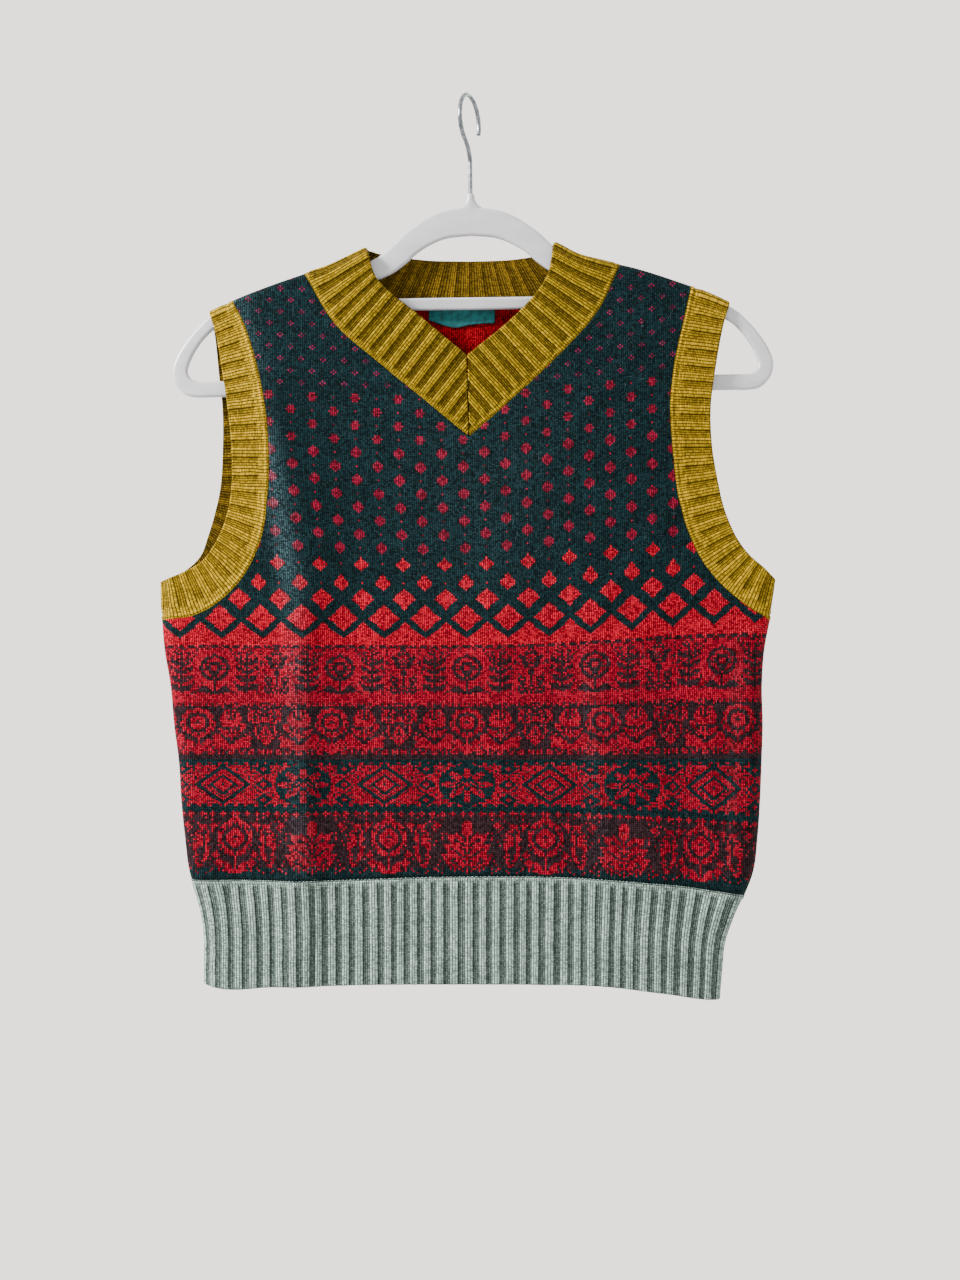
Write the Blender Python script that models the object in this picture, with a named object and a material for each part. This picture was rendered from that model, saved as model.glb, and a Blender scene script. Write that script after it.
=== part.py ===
"""Knitted sweater vest on its slim hanger.

Metres, +Z up. The vest faces -Y, and +X is at the right of someone who looks at its front.
The origin is the top of the hook's inside, where a rail would carry it. Sizes and tables are in
millimetres, and MM turns them to metres where a mesh is made.
"""

import math
from collections import namedtuple

import bmesh
import bpy
import numpy as np
from mathutils import Vector

MM = 0.001

# Driving sizes of the knit.
JERSEY_WALL = 1.9
RIB_WALL = 1.6
RIB_HEIGHT = 1.2
SEAM_GAP = 0.3
BAND_GAP = 0.6
SHOULDER_SEAT = 0.65
SIDE_TURN = 12.0
HANG_EASE = 70.0
FOLD_FADE = 28.0
BORDER_REACH = 15.0

HEM_RIBS = 40
NECK_RIBS = 49
ARM_RIBS = 42
RIB_PROFILE = ((0.0, 0.0), (0.12, 1.0), (0.48, 1.0), (0.60, 0.0))

# Driving sizes of the hanger.
HANGER_HALF_THICK = 2.5
HANGER_LEAN = math.radians(0.8)
TIE_BAR_HALF_LENGTH = 157.0
TIE_BAR_MIDDLE = -152.2
TIE_BAR_HALF_HEIGHT = 4.6
TIE_BAR_HALF_THICK = 2.1
WIRE_RADIUS = 1.65
HOOK_RADIUS = 18.5
HOOK_TURN = math.radians(68)
SOCKET_TOP = -71.4
SOCKET_DEPTH = 9.0
SOCKET_PLAY = 0.35
ROUND_SIDES = 12

# The hanger's right half: outer and inner edge of the moulding, from the middle of the arch round
# the nose to the middle of the bottom bar.
Rim = namedtuple("Rim", "outer_x outer_z inner_x inner_z")
HANGER_RIMS = (
    Rim(0.0, -80.5, 0.0, -102.1),
    Rim(20.0, -83.3, 17.0, -103.7),
    Rim(35.0, -89.6, 29.0, -108.0),
    Rim(50.0, -100.2, 40.0, -114.6),
    Rim(60.0, -109.8, 49.0, -122.6),
    Rim(70.0, -117.4, 61.0, -130.6),
    Rim(82.0, -121.9, 77.0, -136.2),
    Rim(100.0, -125.9, 96.0, -140.0),
    Rim(121.0, -130.4, 117.5, -143.8),
    Rim(150.0, -140.0, 145.8, -152.4),
    Rim(174.0, -149.2, 169.5, -160.8),
    Rim(192.8, -158.1, 187.4, -166.6),
    Rim(204.0, -168.0, 196.8, -174.0),
    Rim(212.4, -178.0, 203.6, -182.6),
    Rim(219.0, -188.5, 208.6, -191.8),
    Rim(222.2, -198.5, 210.8, -199.6),
    Rim(220.4, -208.4, 208.6, -204.8),
    Rim(213.0, -216.6, 203.4, -206.8),
    Rim(203.0, -218.8, 197.0, -207.0),
    Rim(120.0, -218.8, 120.0, -207.0),
    Rim(0.0, -218.8, 0.0, -207.0),
)

# The stub on the arch that holds the hook: height and half sizes of its oval sections.
Oval = namedtuple("Oval", "z half_x half_y")
HUB_SECTIONS = (
    Oval(-71.4, 3.0, 3.0),
    Oval(-75.5, 3.2, 2.9),
    Oval(-79.0, 5.4, 2.8),
    Oval(-82.0, 9.4, 2.6),
    Oval(-88.0, 12.0, 2.2),
)

# Inner line of the folded side edges at each height.
Side = namedtuple("Side", "z left right")
SIDES = (
    Side(-300.0, -226.5, 226.0),
    Side(-356.0, -225.8, 224.5),
    Side(-387.0, -225.0, 220.2),
    Side(-407.0, -223.4, 216.5),
    Side(-434.0, -218.9, 214.6),
    Side(-464.0, -216.2, 215.2),
    Side(-490.0, -212.8, 214.4),
    Side(-520.0, -210.9, 213.2),
    Side(-545.0, -208.4, 211.5),
    Side(-575.0, -204.0, 207.2),
    Side(-588.0, -199.6, 202.0),
    Side(-604.0, -195.4, 194.5),
    Side(-622.0, -193.3, 188.0),
    Side(-643.0, -193.4, 185.5),
    Side(-666.0, -192.8, 183.5),
)

# How far the inside of each face lies from the hanger's plane where the cloth hangs free.
Depth = namedtuple("Depth", "x front back")
DEPTHS = (
    Depth(-220.0, 9.0, 8.0),
    Depth(-185.0, 10.5, 9.0),
    Depth(-125.0, 13.0, 9.5),
    Depth(-70.0, 11.0, 9.0),
    Depth(0.0, 12.0, 8.5),
    Depth(60.0, 11.0, 9.0),
    Depth(110.0, 12.5, 9.5),
    Depth(180.0, 10.0, 9.0),
    Depth(220.0, 9.0, 8.0),
)

# Soft vertical folds: troughs have a negative height.
Fold = namedtuple("Fold", "face x_top z_top x_foot z_foot width height")
FRONT, BACK = -1, 1
FOLDS = (
    Fold(FRONT, -151.0, -200.0, -127.0, -347.0, 17.0, 2.6),
    Fold(FRONT, -123.0, -393.0, -127.0, -640.0, 18.0, 3.0),
    Fold(FRONT, -172.0, -420.0, -168.0, -585.0, 19.0, -2.2),
    Fold(FRONT, -92.0, -300.0, -88.0, -560.0, 17.0, -1.6),
    Fold(FRONT, 96.0, -395.0, 112.0, -575.0, 21.0, 2.2),
    Fold(FRONT, 136.0, -560.0, 133.0, -668.0, 15.0, 2.6),
    Fold(FRONT, 150.0, -400.0, 158.0, -560.0, 18.0, -1.8),
    Fold(FRONT, -160.0, -600.0, -167.0, -668.0, 13.0, 1.8),
    Fold(FRONT, 30.0, -330.0, 22.0, -620.0, 30.0, 1.2),
    Fold(BACK, -118.0, -260.0, -108.0, -610.0, 22.0, 2.6),
    Fold(BACK, -30.0, -330.0, -42.0, -650.0, 24.0, 1.8),
    Fold(BACK, 62.0, -290.0, 74.0, -600.0, 20.0, 2.4),
    Fold(BACK, 140.0, -400.0, 132.0, -655.0, 18.0, 2.2),
    Fold(BACK, 20.0, -380.0, 28.0, -560.0, 18.0, -1.4),
)

# One row for each station down an armhole: its seam, the free edge of its band, the neck seam
# that the same row of the panel runs to, and the free edge of the neckband there. The crown of
# the shoulder is station 0, the side seam is the last one, and None is read from those lines.
STATION_COLUMNS = (
    "seam_x seam_z edge_x edge_z neck_x neck_z "
    "collar_x collar_z nape_x nape_z yoke_x yoke_z back_out"
)
Station = namedtuple("Station", STATION_COLUMNS)
LEFT_STATIONS = (
    Station(-174.0, None, -191.5, None, -121.0, None, -75.0, None, -75.0, None, -121.0, None, 0.0),
    Station(-165.0, -169.0, -186.2, -177.0, -98.5, -169.0, -66.5, -137.0, -62.0, -114.6, -92.0, -146.5, 2.5),
    Station(-156.0, -196.0, -181.8, -202.0, -67.0, -197.0, -38.5, -161.0, -31.0, -118.4, -45.0, -152.0, 4.5),
    Station(-149.5, -226.0, -177.6, -229.0, -30.0, -227.3, -1.5, -192.0, 0.0, -119.2, 0.0, -153.5, 6.0),
    Station(-146.2, -258.0, -174.5, -258.0, 0.0, -252.0, 0.0, -252.0, 0.0, 0.0, 0.0, -190.0, 9.0),
    Station(-146.4, -290.0, -174.3, -288.0, 0.0, -287.0, 0.0, 0.0, 0.0, 0.0, 0.0, -235.0, 11.0),
    Station(-150.7, -323.0, -178.5, -312.0, 0.0, -320.0, 0.0, 0.0, 0.0, 0.0, 0.0, -285.0, 12.0),
    Station(-162.5, -350.5, -187.0, -331.0, 0.0, -347.0, 0.0, 0.0, 0.0, 0.0, 0.0, -327.0, 10.0),
    Station(-179.5, -370.0, -197.0, -343.8, 0.0, -366.0, 0.0, 0.0, 0.0, 0.0, 0.0, -354.0, 6.0),
    Station(-200.0, -382.5, -211.0, -351.5, 0.0, -378.0, 0.0, 0.0, 0.0, 0.0, 0.0, -372.0, 2.0),
    Station(None, -386.5, None, -357.5, 0.0, -386.5, 0.0, 0.0, 0.0, 0.0, 0.0, -386.5, 0.0),
)
RIGHT_STATIONS = (
    Station(163.0, None, 192.0, None, 111.0, None, 62.0, None, 62.0, None, 111.0, None, 0.0),
    Station(157.5, -165.0, 187.0, -170.0, 94.0, -160.5, 56.0, -135.5, 55.0, -114.0, 88.0, -144.5, -2.0),
    Station(150.5, -196.0, 181.5, -199.0, 65.0, -193.0, 34.0, -162.3, 30.0, -118.0, 45.0, -152.0, -2.0),
    Station(147.0, -228.0, 177.6, -229.0, 29.6, -226.3, -1.5, -192.0, 0.0, -119.2, 0.0, -153.5, -2.0),
    Station(148.5, -257.0, 178.3, -257.0, 0.0, -252.0, 0.0, -252.0, 0.0, 0.0, 0.0, -190.0, -2.0),
    Station(151.5, -287.0, 182.2, -282.0, 0.0, -287.0, 0.0, 0.0, 0.0, 0.0, 0.0, -235.0, -2.0),
    Station(157.5, -313.5, 187.5, -305.0, 0.0, -320.0, 0.0, 0.0, 0.0, 0.0, 0.0, -285.0, -2.0),
    Station(168.8, -339.7, 195.8, -324.5, 0.0, -347.0, 0.0, 0.0, 0.0, 0.0, 0.0, -327.0, -2.0),
    Station(184.0, -359.5, 205.5, -338.0, 0.0, -366.0, 0.0, 0.0, 0.0, 0.0, 0.0, -354.0, -1.5),
    Station(203.0, -375.5, 216.0, -347.3, 0.0, -378.0, 0.0, 0.0, 0.0, 0.0, 0.0, -372.0, -1.0),
    Station(None, -386.5, None, -356.0, 0.0, -386.5, 0.0, 0.0, 0.0, 0.0, 0.0, -386.5, 0.0),
)
V_TIP = 4
V_INSIDE = 3
NAPE = 3
UNDERARM = 10
PANEL_ROWS = (0, 0.03, 0.1, 0.22, 0.6, 1, 2, 3, 4, 5, 6, 6.5, 7, 7.5, 8, 8.5, 9, 9.5, 10)
PANEL_COLUMNS = (0, 0.007, 0.028, 0.055, 0.13, 0.27, 0.43, 0.6, 0.8, 1)
BODY_ROWS = 7

# Parts of a band's width, from its seam to its free edge, at which it has a row of points.
WELT_PARTS = (0.0, 0.33, 0.66, 1.0)
NECK_PARTS = (0.0, 0.33, 0.66, 1.0)
ARM_PARTS = (0.0, 0.5, 1.0)
MITRE_START = 3.95

# The welt: its seam and its lower edge, from the left side seam to the right one.
Welt = namedtuple("Welt", "across seam_z edge_z")
WELT = (
    Welt(0.0, -577.0, -655.0),
    Welt(0.06, -577.0, -657.0),
    Welt(0.12, -577.0, -655.6),
    Welt(0.27, -577.0, -654.2),
    Welt(0.39, -575.0, -653.6),
    Welt(0.52, -574.0, -653.3),
    Welt(0.60, -574.0, -653.6),
    Welt(0.74, -576.3, -655.0),
    Welt(0.85, -580.1, -659.6),
    Welt(0.925, -584.0, -663.8),
    Welt(1.0, -588.5, -666.0),
)

# The label hangs from the back neck seam, on the inside of the back.
LABEL_LEFT, LABEL_RIGHT = -30.0, 19.0
LABEL_TOP = -147.0
LABEL_WALL = 1.0
LABEL_FOOT = (-163.0, -166.5, -168.6, -166.8, -165.6, -165.2)


def through(places, values, at):
    """Reads the smooth curve through a table's points, which runs on straight past its ends."""
    places = np.asarray(places, float)
    values = np.asarray(values, float)
    step = np.diff(places)
    rise = np.diff(values) / step
    slope = np.empty_like(values)
    slope[1:-1] = (rise[:-1] * step[1:] + rise[1:] * step[:-1]) / (step[:-1] + step[1:])
    slope[0] = rise[0]
    slope[-1] = rise[-1]
    held = min(max(at, places[0]), places[-1])
    i = min(max(int(np.searchsorted(places, held)) - 1, 0), len(step) - 1)
    part = (held - places[i]) / step[i]
    value = (
        (1 + 2 * part) * (1 - part) ** 2 * values[i]
        + part * (1 - part) ** 2 * step[i] * slope[i]
        + part * part * (3 - 2 * part) * values[i + 1]
        + part * part * (part - 1) * step[i] * slope[i + 1]
    )
    return value + (at - held) * (slope[0] if at < places[0] else slope[-1])


def column(rows, name):
    return [getattr(row, name) for row in rows]


def lean(x, z):
    """A point of the upright hanger, in the vest's frame."""
    return (
        x * math.cos(HANGER_LEAN) - z * math.sin(HANGER_LEAN),
        x * math.sin(HANGER_LEAN) + z * math.cos(HANGER_LEAN),
    )


# The crown of the shoulders: the cloth lies on the arms and the neckband stands off them.
Crown = namedtuple("Crown", "x z turn")


def crown_rows():
    def on_arm(rim, side, turn):
        x, z = lean(side * rim.outer_x, rim.outer_z)
        return Crown(x, z + SHOULDER_SEAT, turn)

    shoulder = [rim for rim in HANGER_RIMS[:12] if rim.outer_x >= 121.0]
    left = [on_arm(rim, -1, 4.2) for rim in reversed(shoulder)]
    right = [on_arm(rim, 1, 4.2) for rim in shoulder]
    neck = [
        Crown(-102.0, -125.6, 5.0),
        Crown(-90.0, -120.0, 6.2),
        Crown(-75.0, -113.0, 8.0),
        Crown(-40.0, -104.0, 8.0),
        Crown(0.0, -100.0, 8.0),
        Crown(35.0, -103.0, 8.0),
        Crown(62.0, -108.9, 8.0),
        Crown(80.0, -117.8, 6.2),
        Crown(97.0, -122.2, 5.0),
    ]
    return left + neck + right


CROWN = crown_rows()


def crown_z(x):
    return through(column(CROWN, "x"), column(CROWN, "z"), x)


def side_x(z, side):
    return through([-row.z for row in SIDES], column(SIDES, "left" if side < 0 else "right"), -z)


def folded(distance, turn):
    """How open the wall is at a distance from a folded edge: 0 on the edge, 1 past the turn."""
    part = min(distance / turn, 1.0)
    return part * (2.0 - part)


def fold_height(x, z, face):
    height = 0.0
    for fold in FOLDS:
        if fold.face != face:
            continue
        along = (fold.z_top - z) / (fold.z_top - fold.z_foot)
        middle = fold.x_top + (fold.x_foot - fold.x_top) * along
        beyond = max(-along, along - 1.0, 0.0) * (fold.z_top - fold.z_foot)
        height += fold.height * math.exp(-((x - middle) / fold.width) ** 2 - (beyond / FOLD_FADE) ** 2)
    return height


def depth_squared(x, z, face):
    """Square of the inner wall's distance from the hanger's plane. It is 0 on the folded edges."""
    below = crown_z(x) - z
    turn = through(column(CROWN, "x"), column(CROWN, "turn"), x)
    hanging = through(column(DEPTHS, "x"), column(DEPTHS, "front" if face == FRONT else "back"), x)
    open_depth = turn + (hanging - turn) * (1.0 - math.exp(-max(below, 0.0) / HANG_EASE))
    open_depth += fold_height(x, z, face)
    inside = min(x - side_x(z, -1), side_x(z, 1) - x)
    return open_depth**2 * folded(below, turn) * folded(inside, SIDE_TURN)


def wall_point(x, z, face, seam=0.0):
    """The inner wall's point at x, z and the direction out of the cloth there."""
    probe = 0.1
    depth = math.sqrt(max(depth_squared(x, z, face), 0.0))
    along_x = (depth_squared(x + probe, z, face) - depth_squared(x - probe, z, face)) / (2 * probe)
    along_z = (depth_squared(x, z + probe, face) - depth_squared(x, z - probe, face)) / (2 * probe)
    out = np.array([-along_x, 2.0 * face * depth, -along_z])
    return np.array([x, face * (depth + seam), z]), out / np.linalg.norm(out)


def stations_of(side):
    return LEFT_STATIONS if side < 0 else RIGHT_STATIONS


def read(side, x_name, z_name, at, first=0, last=UNDERARM):
    """A line of the station table at a station, smooth between its first and last rows."""
    rows = stations_of(side)
    xs = []
    zs = []
    for row in rows[first : last + 1]:
        x = getattr(row, x_name)
        z = getattr(row, z_name)
        xs.append(side_x(z, side) if x is None else x)
        zs.append(crown_z(x) if z is None else z)
    places = list(range(first, last + 1))
    x = through(places, xs, at)
    z = through(places, zs, at)
    return (x, crown_z(x)) if at == 0 else (x, z)


def middle_x(z):
    """The line down the middle, plumb at the V and midway between the sides at the hem."""
    v_tip = LEFT_STATIONS[V_TIP].neck_z
    underarm = LEFT_STATIONS[UNDERARM].seam_z
    part = min(max((v_tip - z) / (v_tip - underarm), 0.0), 1.0)
    return part * (side_x(z, -1) + side_x(z, 1)) / 2


def rows_of(line):
    """A seam as the polyline that both of its pieces share."""
    points = np.array([line(at) for at in PANEL_ROWS])

    def at_station(at):
        return np.interp(at, PANEL_ROWS, points[:, 0]), np.interp(at, PANEL_ROWS, points[:, 1])

    return at_station


def armhole_seam(side, face):
    def line(at):
        seam = np.array(read(side, "seam_x", "seam_z", at))
        if face == FRONT or at in (0, UNDERARM):
            return seam
        edge = np.array(read(side, "edge_x", "edge_z", at))
        out = through(range(UNDERARM + 1), column(stations_of(side), "back_out"), at)
        return seam + (edge - seam) / np.linalg.norm(edge - seam) * out

    return rows_of(line)


def armhole_edge(side, face, at):
    edge = np.array(read(side, "edge_x", "edge_z", at))
    if face == FRONT or at in (0, UNDERARM):
        return edge
    seam = np.array(read(side, "seam_x", "seam_z", at))
    out = through(range(UNDERARM + 1), column(stations_of(side), "back_out"), at)
    return edge + (edge - seam) / np.linalg.norm(edge - seam) * out


def neck_line(side, face):
    """The panel's inner line: the neck seam down to the middle, then the middle line."""
    names = ("neck_x", "neck_z") if face == FRONT else ("yoke_x", "yoke_z")
    corner = V_TIP if face == FRONT else NAPE

    def line(at):
        if at <= corner:
            return read(side, *names, at, 0, corner)
        x, z = read(side, *names, at, corner, UNDERARM)
        return middle_x(z), z

    return rows_of(line)


def between(start, end, part, side):
    """A point between two in the flat, bent to follow the crown and the side where it is near."""
    x = start[0] + (end[0] - start[0]) * part
    z = start[1] + (end[1] - start[1]) * part
    drop_start = crown_z(start[0]) - start[1]
    drop_end = crown_z(end[0]) - end[1]
    drop = drop_start + (drop_end - drop_start) * part
    near = math.exp(-max(drop, 0.0) / BORDER_REACH)
    z = z * (1 - near) + (crown_z(x) - drop) * near
    gap_start = side * (side_x(start[1], side) - start[0])
    gap_end = side * (side_x(end[1], side) - end[0])
    gap = gap_start + (gap_end - gap_start) * part
    near = math.exp(-max(gap, 0.0) / BORDER_REACH)
    x = x * (1 - near) + (side_x(z, side) - side * gap) * near
    return x, z


# The scene -----------------------------------------------------------------------------------

for old in list(bpy.data.objects):
    bpy.data.objects.remove(old, do_unlink=True)
VEST = bpy.data.collections.new("sweater vest on hanger")
HELPERS = bpy.data.collections.new("joining and cutting shapes")
bpy.context.scene.collection.children.link(VEST)
bpy.context.scene.collection.children.link(HELPERS)


def material(name, colour, roughness, metallic=0.0):
    made = bpy.data.materials.new(name)
    made.use_nodes = True
    shader = made.node_tree.nodes["Principled BSDF"]
    shader.inputs["Base Color"].default_value = (*colour, 1.0)
    shader.inputs["Roughness"].default_value = roughness
    shader.inputs["Metallic"].default_value = metallic
    made.diffuse_color = (*colour, 1.0)
    return made


def finish(name, shape, look, collection=VEST):
    """Makes one closed object of a bmesh whose points are in millimetres."""
    bmesh.ops.recalc_face_normals(shape, faces=shape.faces)
    bmesh.ops.scale(shape, vec=(MM, MM, MM), verts=shape.verts)
    mesh = bpy.data.meshes.new(name)
    shape.to_mesh(mesh)
    shape.free()
    mesh.shade_smooth()
    mesh.set_sharp_from_angle(angle=math.radians(40))
    mesh.materials.append(look)
    made = bpy.data.objects.new(name, mesh)
    collection.objects.link(made)
    if collection is HELPERS:
        made.hide_render = True
        made.display_type = "WIRE"
    return made


# Cloth ---------------------------------------------------------------------------------------


def thickened(sheet, out_of, wall):
    """Closes an open sheet with a second one, a wall away, and a rim round its border."""
    second = {}
    for vertex, out in out_of.items():
        second[vertex] = sheet.verts.new(vertex.co + wall * Vector(out))
    border = [edge for edge in sheet.edges if len(edge.link_faces) == 1]
    first_faces = list(sheet.faces)
    for edge in border:
        a, b = edge.verts
        sheet.faces.new((a, b, second[b], second[a]))
    for face in first_faces:
        sheet.faces.new([second[vertex] for vertex in reversed(face.verts)])


def panel(name, face, look):
    """A jersey panel: rows from each armhole and side to the middle, thickened outwards."""
    sheet = bmesh.new()
    out_of = {}
    shared = {}
    corner = V_TIP if face == FRONT else NAPE

    def add(x, z):
        point, out = wall_point(x, z, face, SEAM_GAP / 2)
        vertex = sheet.verts.new(point)
        out_of[vertex] = out
        return vertex

    for side in (-1, 1):
        seam = armhole_seam(side, face)
        inner = neck_line(side, face)
        grid = []
        for at in PANEL_ROWS:
            line = [between(seam(at), inner(at), part, side) for part in PANEL_COLUMNS]
            grid.append((at, line))
        for step in range(1, BODY_ROWS + 1):
            line = [body_point(part / 2, step / BODY_ROWS, side) for part in PANEL_COLUMNS]
            grid.append((UNDERARM + step, line))
        rows = []
        for at, line in grid:
            row = [add(*place) for place in line[:-1]]
            if at < corner:
                row.append(add(*line[-1]))
            else:
                if at not in shared:
                    shared[at] = add(*line[-1])
                row.append(shared[at])
            rows.append(row)
        for upper, lower in zip(rows, rows[1:]):
            for i in range(len(PANEL_COLUMNS) - 1):
                corners = [upper[i], upper[i + 1], lower[i + 1], lower[i]]
                sheet.faces.new(corners if side < 0 else corners[::-1])
    thickened(sheet, out_of, JERSEY_WALL)
    return finish(name, sheet, look)


def body_point(part, down, side):
    """A point below the underarms: part is 0 at the side and a half in the middle."""
    across = part if side < 0 else 1 - part
    underarm = LEFT_STATIONS[UNDERARM].seam_z
    foot = through(column(WELT, "across"), column(WELT, "seam_z"), across)
    z = underarm + (foot - underarm) * down
    return side_x(z, -1) + (side_x(z, 1) - side_x(z, -1)) * across, z


def welt_place(face):
    def place(along, part):
        across = math.sin(along * math.pi / 2) ** 2
        seam = through(column(WELT, "across"), column(WELT, "seam_z"), across)
        edge = through(column(WELT, "across"), column(WELT, "edge_z"), across)
        z = seam + (edge - seam) * part
        return side_x(z, -1) + (side_x(z, 1) - side_x(z, -1)) * across, z, face

    return place


def armband_place(side):
    """Round the armhole: from the crown down the front, under the arm and up the back."""
    seams = {face: armhole_seam(side, face) for face in (FRONT, BACK)}

    def place(along, part):
        face = FRONT if along <= 0.5 else BACK
        way = 2 * along if face == FRONT else 2 - 2 * along
        at = UNDERARM * math.sin(way * math.pi / 2) ** 2
        return *between(seams[face](at), armhole_edge(side, face, at), part, side), face

    return place


def neckband_place():
    """Round the neck: from the V over one shoulder, across the nape and back to the V."""
    seams = {(side, face): neck_line(side, face) for side in (-1, 1) for face in (FRONT, BACK)}
    inner_v = LEFT_STATIONS[V_INSIDE]
    tip = LEFT_STATIONS[V_TIP]

    def free_edge(side, face, at):
        if face == BACK:
            return read(side, "nape_x", "nape_z", at, 0, NAPE)
        aside = side * SEAM_GAP / 2 * min(at / V_INSIDE, 1.0)
        if at <= V_INSIDE:
            x, z = read(side, "collar_x", "collar_z", at, 0, V_INSIDE)
        else:
            down = (at - V_INSIDE) / (V_TIP - V_INSIDE)
            x = inner_v.collar_x + (tip.collar_x - inner_v.collar_x) * down
            z = inner_v.collar_z + (tip.collar_z - inner_v.collar_z) * down
        return x + aside, z

    def place(along, part):
        leg = min(int(4 * along), 3)
        done = 4 * along - leg
        side = -1 if leg < 2 else 1
        face = FRONT if leg in (0, 3) else BACK
        way = 1 - done if leg in (0, 2) else done
        at = (MITRE_START if face == FRONT else NAPE) * way * way
        return *between(seams[side, face](at), free_edge(side, face, at), part, side), face

    return place


def ribbed(name, place, ribs, parts, closed, look, seam=0.0):
    """A band with its wales raised in the outer points of a wall over a plain inside.

    place(along, part) runs 0 to 1 along the band and from its seam to its free edge.
    """
    steps = np.linspace(0.0, 1.0, 801)
    run = np.array([wall_point(*place(step, 0.4), seam)[0] for step in steps])
    length = np.append(0.0, np.cumsum(np.linalg.norm(np.diff(run, axis=0), axis=1)))
    columns = [
        (np.interp((rib + part) / ribs * length[-1], length, steps), height)
        for rib in range(ribs)
        for part, height in RIB_PROFILE
    ]
    if not closed:
        columns.append((1.0, 0.0))
    band = bmesh.new()
    inner = []
    outer = []
    kept = []
    facing = None
    for i, (along, height) in enumerate(columns):
        start = np.array(place(along, 0.0)[:2])
        end = np.array(place(along, 1.0)[:2])
        first = BAND_GAP / np.linalg.norm(end - start)
        walls = [wall_point(*place(along, max(part, first)), seam) for part in parts]
        raised = RIB_WALL + RIB_HEIGHT * height
        outer.append([band.verts.new(point + out * raised) for point, out in walls])
        middle_out = walls[len(walls) // 2][1]
        last = i == len(columns) - 1
        turned = facing is None or middle_out @ facing < math.cos(math.radians(16))
        if i % len(RIB_PROFILE) == 0 or turned or (last and not closed):
            inner.append([band.verts.new(point) for point, _ in walls])
            kept.append(i)
            facing = middle_out
    if closed:
        kept.append(len(columns))
        inner.append(inner[0])
        outer.append(outer[0])
    count = len(parts)
    for left, right in zip(outer, outer[1:]):
        for j in range(count - 1):
            band.faces.new((left[j], right[j], right[j + 1], left[j + 1]))
    for left, right in zip(inner, inner[1:]):
        for j in range(count - 1):
            band.faces.new((left[j + 1], right[j + 1], right[j], left[j]))
    for i, (a, b) in enumerate(zip(kept, kept[1:])):
        for j in (0, count - 1):
            band.faces.new([outer[k][j] for k in range(a, b + 1)] + [inner[i + 1][j], inner[i][j]])
    if not closed:
        for end in (0, -1):
            for j in range(count - 1):
                band.faces.new((outer[end][j], outer[end][j + 1], inner[end][j + 1], inner[end][j]))
    return finish(name, band, look)


def label(look):
    """A flat tab on the inside of the back, made from the back's own points."""
    sheet = bmesh.new()
    out_of = {}
    rows = []
    for part in (0.0, 0.5, 1.0):
        row = []
        for i, foot in enumerate(LABEL_FOOT):
            x = LABEL_LEFT + (LABEL_RIGHT - LABEL_LEFT) * i / (len(LABEL_FOOT) - 1)
            point, out = wall_point(x, LABEL_TOP + (foot - LABEL_TOP) * part, BACK)
            vertex = sheet.verts.new(point - out * BAND_GAP)
            out_of[vertex] = -out
            row.append(vertex)
        rows.append(row)
    for upper, lower in zip(rows, rows[1:]):
        for i in range(len(LABEL_FOOT) - 1):
            sheet.faces.new((upper[i], upper[i + 1], lower[i + 1], lower[i]))
    thickened(sheet, out_of, LABEL_WALL)
    return finish("neck_label", sheet, look)


# Hanger --------------------------------------------------------------------------------------


def loft(rings, closed):
    """Joins rings of points into a tube, closed on itself or capped."""
    shape = bmesh.new()
    made = [[shape.verts.new(point) for point in ring] for ring in rings]
    pairs = list(zip(made, made[1:]))
    if closed:
        pairs.append((made[-1], made[0]))
    for near, far in pairs:
        for i in range(len(near)):
            j = (i + 1) % len(near)
            shape.faces.new((near[i], near[j], far[j], far[i]))
    if not closed:
        shape.faces.new(made[0])
        shape.faces.new(made[-1])
    return shape


def bar_section(outer, inner, half_thick):
    """A flat bar's section between two edges, both of them fully rounded."""
    outer = np.array([outer[0], 0.0, outer[1]])
    inner = np.array([inner[0], 0.0, inner[1]])
    middle = (outer + inner) / 2
    half = np.linalg.norm(outer - inner) / 2
    out = (outer - inner) / (2 * half)
    thick = np.array([0.0, 1.0, 0.0])
    ring = []
    for end, angles in ((1, (-90, -30, 30, 90)), (-1, (90, 30, -30, -90))):
        for angle in map(math.radians, angles):
            reach = half - half_thick + half_thick * math.cos(angle)
            ring.append(middle + end * reach * out + half_thick * math.sin(angle) * thick)
    return ring


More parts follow.
